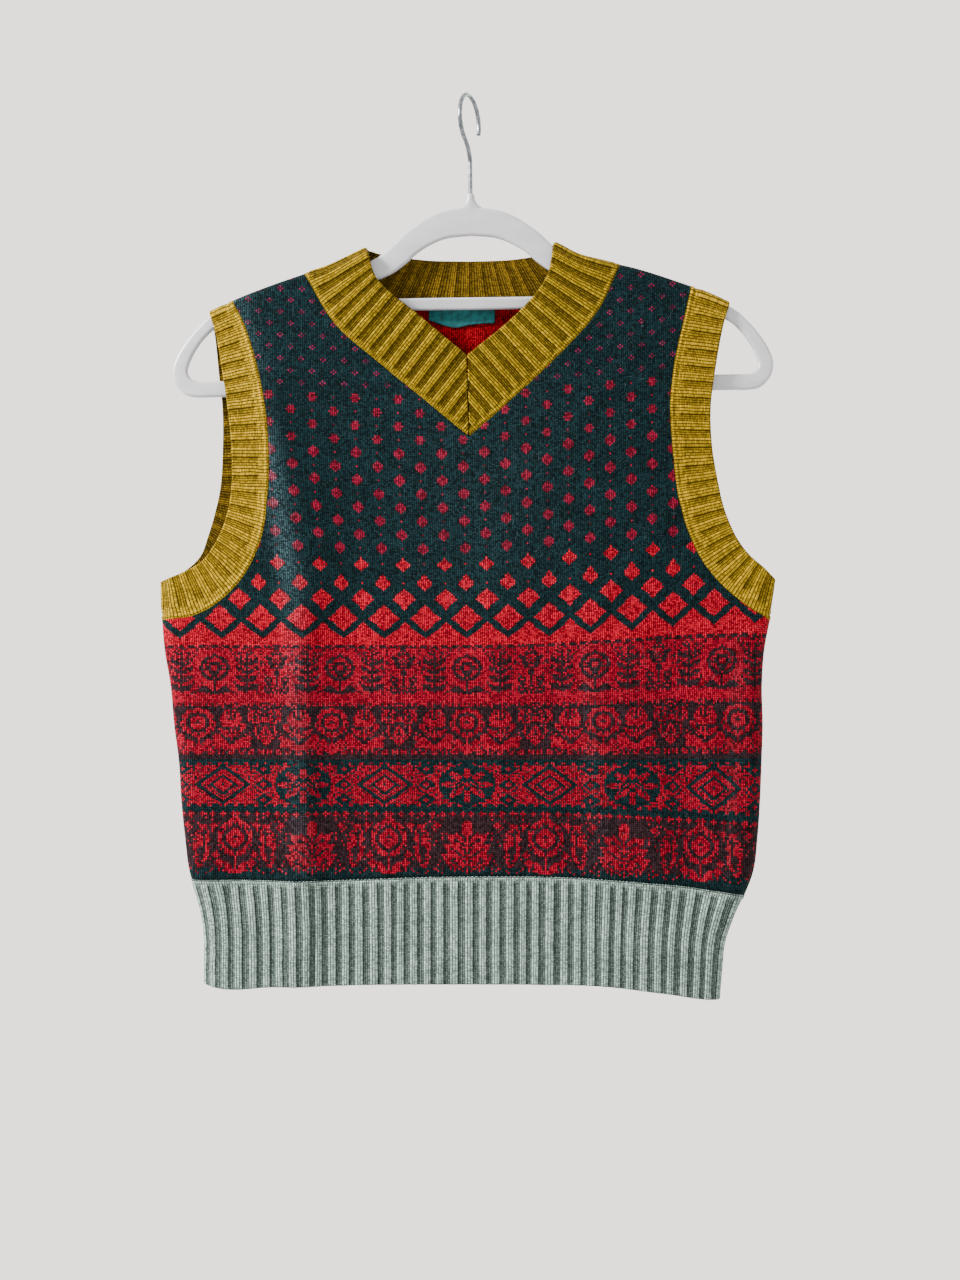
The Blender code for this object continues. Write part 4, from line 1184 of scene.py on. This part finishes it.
# Across one rib: three raised wales with a dip between them, then three sunken ones.
RIB_SHAPE = (
    (0, 0),
    (0.045, 0.62),
    (0.1, 1),
    (0.15, 0.95),
    (0.19, 0.84),
    (0.24, 1),
    (0.285, 1.05),
    (0.33, 1),
    (0.375, 0.84),
    (0.42, 0.95),
    (0.47, 0.95),
    (0.52, 0.6),
    (0.565, 0),
    (0.67, -0.1),
    (0.78, 0.03),
    (0.89, -0.1),
)
RAISED_SHARE = 0.565
PLAIN = 2.4
LINK_RADIUS, LINK_KNOBS = 0.95, 0.35
FROM_SEAM = np.array((BAND_GAP, 0.9, 1.4, 1.9, 2.4, 3.0, 3.8, 4.8, 6.2))
FROM_EDGE = np.array((4.0, 2.8, 1.9, 1.2, 0.65, 0.25, 0.0))


def welt_place(face):
    def place(along, part):
        across = np.sin(along * math.pi / 2) ** 2
        seam, edge = (looked_up(WELT, name, across) for name in ("seam_z", "edge_z"))
        z = seam + (edge - seam) * part
        left, right = side_x(seam, -1), side_x(seam, 1)
        x = left + (right - left) * across
        # The ribs hang straight, and only those near the sides lean in with them.
        lean = (side_x(z, -1) - left) * np.exp((left - x) / LEAN_REACH)
        lean += (side_x(z, 1) - right) * np.exp((x - right) / LEAN_REACH)
        return x + lean, z, np.full_like(z, face)

    return place


def band(
    name, place, ribs, rows, closed, look, lining=None, seam=0.0, rise=RIB_HEIGHT, plain=PLAIN
):
    """A ribbed band as a shell. place(along, part) runs from its seam to its free edge.

    The ribs begin past a plain strip, in which a ridge of links runs along each edge.
    """
    steps = np.linspace(0.0, 1.0, 1601)
    run = wall_point(*place(steps, np.full_like(steps, 0.4)), seam)[0]
    length = np.append(0.0, np.cumsum(np.linalg.norm(np.diff(run, axis=0), axis=1)))
    spots = [rib + part for rib in range(ribs) for part, _ in RIB_SHAPE]
    lifts = [lift for _ in range(ribs) for _, lift in RIB_SHAPE]
    if not closed:
        spots.append(ribs)
        lifts.append(0.0)
    spots = np.array(spots)
    # Ribs lie a little unevenly, as they do in worn knitwear.
    drawn = spots + 0.06 * np.sin(spots * 0.83 + ribs) + 0.04 * np.sin(spots * 1.91)
    drawn = drawn - drawn[0]
    drawn = drawn * (ribs / (drawn[-1] + (spots[1] if closed else 0.0)))
    along = np.interp(np.clip(drawn / ribs, 0, 1) * length[-1], length, steps)[:, None]
    start = place(along, np.zeros_like(along))
    end = place(along, np.ones_like(along))
    width = np.hypot(end[0] - start[0], end[1] - start[1])
    from_seam = np.append(FROM_SEAM, np.arange(FROM_SEAM[-1] + 0.7, plain + 3.6, 0.7))
    first, last = from_seam[-1] / width, 1 - FROM_EDGE[0] / width
    middle = first + (last - first) * np.linspace(0.0, 1.0, rows)[1:-1]
    part = np.concatenate((from_seam / width, middle, 1 - FROM_EDGE / width), axis=1)
    points, out = wall_point(*place(along, part), seam)
    down, up = part * width, (1 - part) * width
    fade = eased(plain, plain + 2.2, down) * (0.35 + 0.65 * eased(0.2, 2.2, up))
    lift = np.array(lifts)[:, None] * fade
    # A ridge of links runs in the plain strip, a second one past a wide strip, and the free edge
    # is rolled and rounded.
    strip = np.exp(-(((down - 2.0) / 1.0) ** 2))
    strip = strip + 0.6 * np.exp(-(((down - plain + 0.4) / 0.9) ** 2)) * (plain > PLAIN)
    roll = np.exp(-(((up - 1.1) / 0.8) ** 2))
    rounding = np.sqrt(1 - (1 - np.clip(up / 1.1, 0.0, 1.0)) ** 2)
    outer = RIB_WALL * (0.3 + 0.7 * rounding) + rise * lift + 0.9 * strip + 0.35 * roll
    inner = 0.45 * np.maximum(lift, 0.0) * (rise / RIB_HEIGHT)
    count, depth = part.shape
    index = np.arange(count * depth).reshape(count, depth)
    whole, rest = np.divmod(spots, 1.0)
    wales = whole * RIB_WALES + np.interp(rest, (0.0, RAISED_SHARE, 1.0), (0, 3, RIB_WALES)) - 0.5
    wales = np.repeat(wales[:, None], depth, axis=1)
    uv = np.stack((wales, (down - plain + PLAIN) / COURSE), axis=2)
    if closed:
        index = np.concatenate((index, index[:1]))
        last_uv = uv[:1] + np.array((ribs * RIB_WALES, 0.0))
        uv = np.concatenate((uv, last_uv))
    quads, uvs = cells(index).reshape(-1, 4), cells(uv).reshape(-1, 4, 2)
    # The faces of the outer sheet look along the directions out of the cloth.
    a, b, c = (points.reshape(-1, 3)[quads[len(quads) // 2, k]] for k in (0, 1, 2))
    if np.dot(np.cross(b - a, c - b), out.reshape(-1, 3)[quads[len(quads) // 2, 0]]) < 0:
        quads, uvs = quads[:, ::-1], uvs[:, ::-1]
    flat_out = out.reshape(-1, 3)
    flat = points.reshape(-1, 3)
    return shell(
        name,
        flat + flat_out * outer.reshape(-1, 1),
        flat + flat_out * inner.reshape(-1, 1),
        quads,
        uvs,
        look,
        lining,
    )


def cord_along(name, points, radius, look, closed=False, knobs=0.0):
    """A thin seam cord through points, as a six-sided tube with the yarn's own map.

    Its stitches swell and shrink it: every other point has a wider ring where knobs is above 0.
    """
    points = np.asarray(points, float)
    ahead = np.roll(points, -1, axis=0) - np.roll(points, 1, axis=0)
    if not closed:
        ahead[0], ahead[-1] = points[1] - points[0], points[-1] - points[-2]
    ahead = unit(ahead)
    first = unit(np.cross(ahead, (0.31, 0.87, 0.39)))
    second = np.cross(ahead, first)
    turns = np.arange(6) * math.pi / 3
    ring = first[:, None] * np.cos(turns)[:, None] + second[:, None] * np.sin(turns)[:, None]
    count = len(points)
    swell = 1 + knobs * np.where(np.arange(count) % 2, -1.0, 1.0)
    verts = (points[:, None] + radius * swell[:, None, None] * ring).reshape(-1, 3)
    faces = []
    uvs = []
    run = np.append(0.0, np.cumsum(np.linalg.norm(np.diff(points, axis=0), axis=1))) / COURSE
    for i in range(count if closed else count - 1):
        j = (i + 1) % count
        far = run[j] if j else run[-1] + 1.0
        for k in range(6):
            n = (k + 1) % 6
            faces.append((i * 6 + k, i * 6 + n, j * 6 + n, j * 6 + k))
            a, b = k * 0.4, (k + 1) * 0.4
            uvs += [(a, run[i]), (b, run[i]), (b, far), (a, far)]
    if not closed:
        faces += [tuple(range(5, -1, -1)), tuple((count - 1) * 6 + k for k in range(6))]
        uvs += [(0.0, 0.0)] * 12
    made = piece_of(name, verts, faces, uvs, look)
    made.data.shade_smooth()
    return made


def seam_points(place, steps, wall, closed, seam=0.0):
    """Points down the middle of the gap between a band and its panel."""
    along = np.linspace(0.0, 1.0, steps, endpoint=not closed)
    points, out = wall_point(*place(along, np.full_like(along, 0.006)), seam)
    return points + out * wall


# Sage lambswool in a rib: pale grey-green, matt and soft, with painted light on the raised wales
# and painted shade on the sunken ones.
sage, tree = new_material("sage lambswool rib")
yarn(tree, knit(tree, 0.5), linear("#5f6f6b"), linear("#333c3a"), 0.0006, (1.22, 0.48))

for face, name, slot_name, node in (
    (FRONT, "front_welt", "welt_front", "hem_rib_front"),
    (BACK, "back_welt", "welt_back", "hem_rib_back"),
):
    welt = band(name, welt_place(face), HEM_RIBS, 26, False, sage, seam=SEAM_GAP / 2)
    placed(welt, slot_name, node)
links = [seam_points(welt_place(face), 420, 1.1, False, SEAM_GAP / 2) for face in (FRONT, BACK)]
links = np.concatenate((links[0], links[1][::-1]))
placed(cord_along("welt_linking", links, LINK_RADIUS, sage, True, LINK_KNOBS), "welt_front")


# Neckband ------------------------------------------------------------------------------------
# One strip of ochre wool in the same rib, linked round the neck. Its ends are mitred and sewn at
# the point of the V, and it stands off the hanger behind the nape.

NECK_RIBS = 49
MITRE_START = 3.95


def neckband_place(along, part):
    leg = np.minimum((4 * along).astype(int), 3)
    done = 4 * along - leg
    is_front = (leg == 0) | (leg == 3)
    way = np.where((leg == 0) | (leg == 2), 1 - done, done)
    at = np.where(is_front, MITRE_START, NAPE) * way * way
    x = np.zeros(np.broadcast_shapes(along.shape, part.shape))
    z = np.zeros_like(x)
    inner_v, tip = STATIONS[-1][V_INSIDE], STATIONS[-1][V_TIP]
    for i, (side, face) in enumerate(((-1, FRONT), (-1, BACK), (1, BACK), (1, FRONT))):
        if face == BACK:
            edge = read(side, "nape_x", "nape_z", at, 0, NAPE)
        else:
            collar = read(side, "collar_x", "collar_z", np.minimum(at, V_INSIDE), 0, V_INSIDE)
            down = np.clip((at - V_INSIDE) / (V_TIP - V_INSIDE), 0.0, 1.0)
            edge = []
            for name, line in zip(("collar_x", "collar_z"), collar):
                first, last = getattr(inner_v, name), getattr(tip, name)
                edge.append(np.where(at > V_INSIDE, first + (last - first) * down, line))
            edge[0] = edge[0] + side * SEAM_GAP / 2 * np.minimum(at / V_INSIDE, 1.0)
        leg_x, leg_z = between(neck_line(side, face, at), edge, part, side)
        x = np.where(leg == i, leg_x, x)
        z = np.where(leg == i, leg_z, z)
    return x, z, np.where(is_front, FRONT, BACK) * np.ones_like(x)


# Ochre lambswool in a rib: a deep mustard with brown and green fibres, matt and slightly hairy,
# with painted light on the raised wales and painted shade on the sunken ones.
ochre, tree = new_material("ochre lambswool rib")
yarn(tree, knit(tree, 0.5), linear("#5c4b09"), linear("#2b2303"), 0.0006, (1.16, 0.54))

# The same rib for the armbands, on a lighter base and with weaker painted light and shade on its
# wales.
ochre_flat, tree = new_material("ochre lambswool rib, stretched flat")
yarn(tree, knit(tree, 0.5), linear("#6b570e"), linear("#312704"), 0.0006, (1.04, 0.72))

# The reverse of the ochre rib: darker, with painted shade on the raised wales and painted light on
# the sunken ones, which stand out as thin light lines.
ochre_reverse, tree = new_material("reverse of the ochre rib")
yarn(tree, knit(tree, 0.5), linear("#483807"), linear("#261d03"), 0.0005, (0.75, 1.3))

neckband = band("neck_rib_band", neckband_place, NECK_RIBS, 14, False, ochre, ochre_reverse)
placed(neckband, "neck_rib", "neckband")
points = seam_points(neckband_place, 620, 1.0, False)
neck_links = cord_along("neck_linking", points, LINK_RADIUS, ochre, False, LINK_KNOBS)
placed(neck_links, "neck_rib")


# Armbands ------------------------------------------------------------------------------------
# Two closed bands of the same ochre rib, linked round the armholes. The ribs are drawn flatter
# than at the neck, fan under the arms and fold over the shoulders' ends.

ARM_RIBS = 42
ARM_RISE = 0.85
ARM_PLAIN = 6.4


def armband_place(side):
    def place(along, part):
        is_front = along <= 0.5
        way = np.where(is_front, 2 * along, 2 - 2 * along)
        at = UNDERARM * np.sin(way * math.pi / 2) ** 2
        lines = []
        for face in (FRONT, BACK):
            seam, edge = (armhole_line(side, face, name, at) for name in ("seam", "edge"))
            lines.append(between(seam, edge, part, side))
        x, z = (np.where(is_front, lines[0][i], lines[1][i]) for i in (0, 1))
        return x, z, np.where(is_front, FRONT, BACK) * np.ones_like(x)

    return place


for side, name in ((-1, "left"), (1, "right")):
    place, looks = armband_place(side), (ochre_flat, ochre_reverse)
    armband = band(
        name + "_armband", place, ARM_RIBS, 12, True, *looks, rise=ARM_RISE, plain=ARM_PLAIN
    )
    placed(armband, "arm_rib_" + name, "armband_" + name)
    points = seam_points(place, 480, 1.0, True)
    arm_links = cord_along(name + "_arm_linking", points, LINK_RADIUS, ochre, True, LINK_KNOBS)
    placed(arm_links, "arm_rib_" + name)


# Label ---------------------------------------------------------------------------------------
# A small tab of woven satin tape, teal and bare, sewn by its top edge inside the back neck. It
# curls a little at its lower edge and has a soft crease across its middle.

LABEL_LEFT, LABEL_RIGHT, LABEL_TOP = -30.0, 19.0, -147.0
LABEL_HEIGHT = 20.0
LABEL_WALL = 1.0
LABEL_FOOT = (-163.0, -166.5, -168.6, -166.8, -165.6, -165.2)

across = np.linspace(0.0, 1.0, 61)[None, :]
down = np.linspace(0.0, 1.0, 25)[:, None]
foot = through(range(len(LABEL_FOOT)), LABEL_FOOT, across * (len(LABEL_FOOT) - 1))
x = (LABEL_LEFT + (LABEL_RIGHT - LABEL_LEFT) * across) * np.ones_like(down)
z = LABEL_TOP + (foot - LABEL_TOP) * down
points, out = wall_point(x, z, BACK)
wave = 0.35 * np.sin(across * 9.0 + 0.6) * down**2 + 0.5 * np.exp(-(((down - 0.55) / 0.1) ** 2))
grid = points - out * (BAND_GAP + 0.1 + np.maximum(wave, 0.0))[..., None]
index = np.arange(grid.shape[0] * grid.shape[1]).reshape(grid.shape[:2])
quads = np.roll(cells(index).reshape(-1, 4), -1, axis=1)
uv = np.broadcast_arrays(across * (LABEL_RIGHT - LABEL_LEFT), down * LABEL_HEIGHT)
uv = np.stack(uv, 2).reshape(-1, 2)

# Woven polyester satin: smooth floats along the tape that shine across it, fine weft lines.
satin, tree = new_material("woven satin tape")
place = add(tree, "UVMap", uv_map="stitches")
weft = add(tree, "TexWave", {"Vector": place, "Scale": 1.2, "Distortion": 0.6}, bands_direction="Y")
mottle = noise(tree, place, 0.25, 3.0)
both = add(tree, "MULTIPLY_ADD", [weft.outputs[1], 0.35, mottle])
colour = ramp(tree, both, (0.35, "#00262b"), (0.9, "#005a5e"))
bump = add(tree, "Bump", {"Strength": 0.4, "Distance": 0.0002, "Height": weft.outputs[1]})
looks = {"Base Color": colour, "Roughness": 0.5, "Sheen Weight": 0.04}
surface(tree, {**looks, "Specular IOR Level": 0.15, "Normal": bump})
label = shell(
    "neck_tab",
    (grid - out * LABEL_WALL * 0.7).reshape(-1, 3),
    grid.reshape(-1, 3),
    quads,
    uv[quads],
    satin,
)
placed(label, "label_tape", "neck_label")


# Seams ---------------------------------------------------------------------------------------
# The linking of the panels to each other over the shoulders and down the sides, and the sewn
# mitre of the neckband: single cords of their own yarns that close the seams.

SEAM_RADIUS, MITRE_RADIUS = 0.8, 0.6
SIDE_FOOT = {-1: -654.5, 1: -665.0}
for side, name in ((-1, "left"), (1, "right")):
    z = np.linspace(UNDERARM_Z - 1.0, SIDE_FOOT[side], 180)
    points = np.stack((side_x(z, side) + side * SEAM_RADIUS, np.zeros_like(z), z), axis=1)
    seam_foot = WELT[0].seam_z if side < 0 else WELT[-1].seam_z
    for part, kept, look, slot_name in (
        ("side_seam", z > seam_foot, jersey, "front_knit"),
        ("welt_side_seam", z <= seam_foot, sage, "welt_front"),
    ):
        placed(cord_along(name + "_" + part, points[kept], SEAM_RADIUS, look), slot_name)
    x = np.linspace(STATIONS[side][0].seam_x, STATIONS[side][0].neck_x, 60)
    points = np.stack((x, np.zeros_like(x), crown_z(x) + SEAM_RADIUS), axis=1)
    placed(cord_along(name + "_shoulder_seam", points, SEAM_RADIUS, jersey), "front_knit")
part = np.linspace(0.0, 1.0, 30)
points, out = wall_point(*neckband_place(np.zeros_like(part), part))
points[:, 0] = 0.0
placed(cord_along("mitre_seam", points + out * 1.2, MITRE_RADIUS, ochre), "neck_rib")


# Loose fibres --------------------------------------------------------------------------------
# Lambswool sheds fine curling hairs that stand out of the knit, most of all along its edges. They
# are held by the yarn of the stitch below them, and are drawn a little thick so that they show.

FIBRE_RADIUS = 0.05

# Undyed kemp: coarse pale hairs that took no colour in the vat, the ones that show on the jersey.
kemp, tree = new_material("undyed kemp hair")
place = add(tree, "TexCoord")
chance = noise(tree, place.outputs["Object"], 90.0, 1.0)
colour = ramp(tree, chance, (0.4, "#223034"), (0.62, "#4c5a5e"))
surface(tree, {"Base Color": colour, "Roughness": 0.6})


def loose_fibres(piece, name, slot_name, look, count, longest):
    """Curls that grow out of a piece's outer sheet, with the map of the stitch that they leave."""
    mesh = piece.data
    normals = np.empty(len(mesh.polygons) * 3)
    centres = np.empty(len(mesh.polygons) * 3)
    areas = np.empty(len(mesh.polygons))
    starts = np.empty(len(mesh.polygons), np.int32)
    mesh.polygons.foreach_get("normal", normals)
    mesh.polygons.foreach_get("center", centres)
    mesh.polygons.foreach_get("area", areas)
    mesh.polygons.foreach_get("loop_start", starts)
    places = np.empty(len(mesh.loops) * 2)
    mesh.uv_layers[0].data.foreach_get("uv", places)
    outer = areas[: len(mesh.polygons) // 2]
    roots = draw.choice(len(outer), count, p=outer / outer.sum())
    root = centres.reshape(-1, 3)[roots] / MM
    up = normals.reshape(-1, 3)[roots]
    uv = places.reshape(-1, 2)[starts[roots]]
    lean = draw.normal(size=(count, 3))
    lean = unit(lean - np.sum(lean * up, axis=1, keepdims=True) * up)
    curl = np.cross(up, lean) * draw.uniform(-0.8, 0.8, (count, 1))
    length = longest * draw.uniform(0.3, 1.0, (count, 1)) ** 1.5
    rise = length * draw.uniform(0.15, 0.5, (count, 1))
    along = np.linspace(0.0, 1.0, 5)[:, None, None]
    path = (
        root
        - 0.3 * up
        + up * rise * np.sin(along * 2.2)
        + lean * length * along
        + curl * length * along**2
        + up * 0.3 * along
    )
    side = np.cross(up, lean)
    radius = FIBRE_RADIUS * np.array((1.0, 1.0, 0.9, 0.7, 0.35))[:, None, None]
    turns = np.radians((0, 120, 240))
    ring = [path + radius * (up * math.cos(t) + side * math.sin(t)) for t in turns]
    verts = np.stack(ring, axis=2).transpose(1, 0, 2, 3).reshape(-1, 3)
    one = [
        (level * 3 + k, level * 3 + (k + 1) % 3, level * 3 + 3 + (k + 1) % 3, level * 3 + 3 + k)
        for level in range(4)
        for k in range(3)
    ]
    walls = (np.array(one)[None] + 15 * np.arange(count)[:, None, None]).reshape(-1, 4)
    feet = np.array((2, 1, 0))[None] + 15 * np.arange(count)[:, None]
    tips = np.array((12, 13, 14))[None] + 15 * np.arange(count)[:, None]
    faces = walls.tolist() + feet.tolist() + tips.tolist()
    # Each hair has 12 walls of 4 corners, a foot and a tip.
    corners = np.concatenate([np.repeat(uv, corners, axis=0) for corners in (12 * 4, 3, 3)])
    made = piece_of(name, verts, faces, corners, look)
    shape = bmesh.new()
    shape.from_mesh(made.data)
    bmesh.ops.recalc_face_normals(shape, faces=shape.faces)
    shape.to_mesh(made.data)
    shape.free()
    placed(made, slot_name)


for piece, name, slot_name, look, count, longest in (
    (front, "front_fibres", "front_knit", kemp, 1500, 4.6),
    (back, "back_fibres", "back_knit", kemp, 1300, 4.6),
    (neckband, "neck_fibres", "neck_rib", ochre, 700, 3.6),
    (bpy.data.objects["left_armband"], "left_arm_fibres", "arm_rib_left", ochre_flat, 500, 3.6),
    (bpy.data.objects["right_armband"], "right_arm_fibres", "arm_rib_right", ochre_flat, 500, 3.6),
    (bpy.data.objects["front_welt"], "front_welt_fibres", "welt_front", sage, 450, 3.2),
    (bpy.data.objects["back_welt"], "back_welt_fibres", "welt_back", sage, 400, 3.2),
):
    loose_fibres(piece, name, slot_name, look, count, longest)


# Room ----------------------------------------------------------------------------------------
# A plain pale floor well below the vest, under soft studio light: a broad key lamp from the
# front left, a weaker fill from the right and a dim lamp behind for the far side.

bpy.ops.object.select_all(action="DESELECT")
bpy.ops.mesh.primitive_plane_add(size=1.8, location=(0, 0, -1.62))
floor = bpy.context.object
floor.name = "floor"
bpy.ops.object.transform_apply(location=True, rotation=True, scale=True)
# Matt painted board: an even warm off-white with the faint mottling of a roller.
paint, tree = new_material("matt painted board")
place = add(tree, "TexCoord")
mottle = noise(tree, place.outputs["Object"], 60.0, 3.0)
colour = ramp(tree, mottle, (0.0, "#d9d6d1"), (1.0, "#e2dfda"))
surface(tree, {"Base Color": colour, "Roughness": 0.85})
floor.data.materials.append(paint)

world = bpy.data.worlds.new("pale studio")
world.use_nodes = True
sky = world.node_tree.nodes["Background"]
sky.inputs[0].default_value = linear("#ebe6df")
sky.inputs[1].default_value = 2.75
bpy.context.scene.world = world

Lamp = namedtuple("Lamp", "name place aim size power colour")
for lamp in (
    Lamp("key", (-1.45, -0.62, 0.55), (0, 0, -0.4), 0.35, 170, "#fffaf4"),
    Lamp("fill", (1.4, -1.2, -0.1), (0, 0, -0.4), 1.2, 3, "#fff3e6"),
    Lamp("rear", (0.6, 1.4, 0.4), (0, 0, -0.35), 1.2, 16, "#ffffff"),
):
    light = bpy.data.lights.new(lamp.name, "AREA")
    light.size = lamp.size
    light.energy = lamp.power
    light.color = linear(lamp.colour)[:3]
    holder = linked(lamp.name, light)
    holder.location = lamp.place
    aim = Vector(lamp.aim) - Vector(lamp.place)
    holder.rotation_euler = aim.to_track_quat("-Z", "Y").to_euler()

# The camera is level and straight on, and takes in 947 mm of height at the vest.
CAMERA_AWAY = 1.25
lens = bpy.data.cameras.new("camera")
lens.sensor_fit = "VERTICAL"
lens.sensor_height = 24.0
lens.lens = 24.0 * CAMERA_AWAY / 0.947
camera = linked("camera", lens)
camera.location = (0.008, -CAMERA_AWAY, -0.401)
camera.rotation_euler = (math.radians(90), 0, 0)
bpy.context.scene.camera = camera
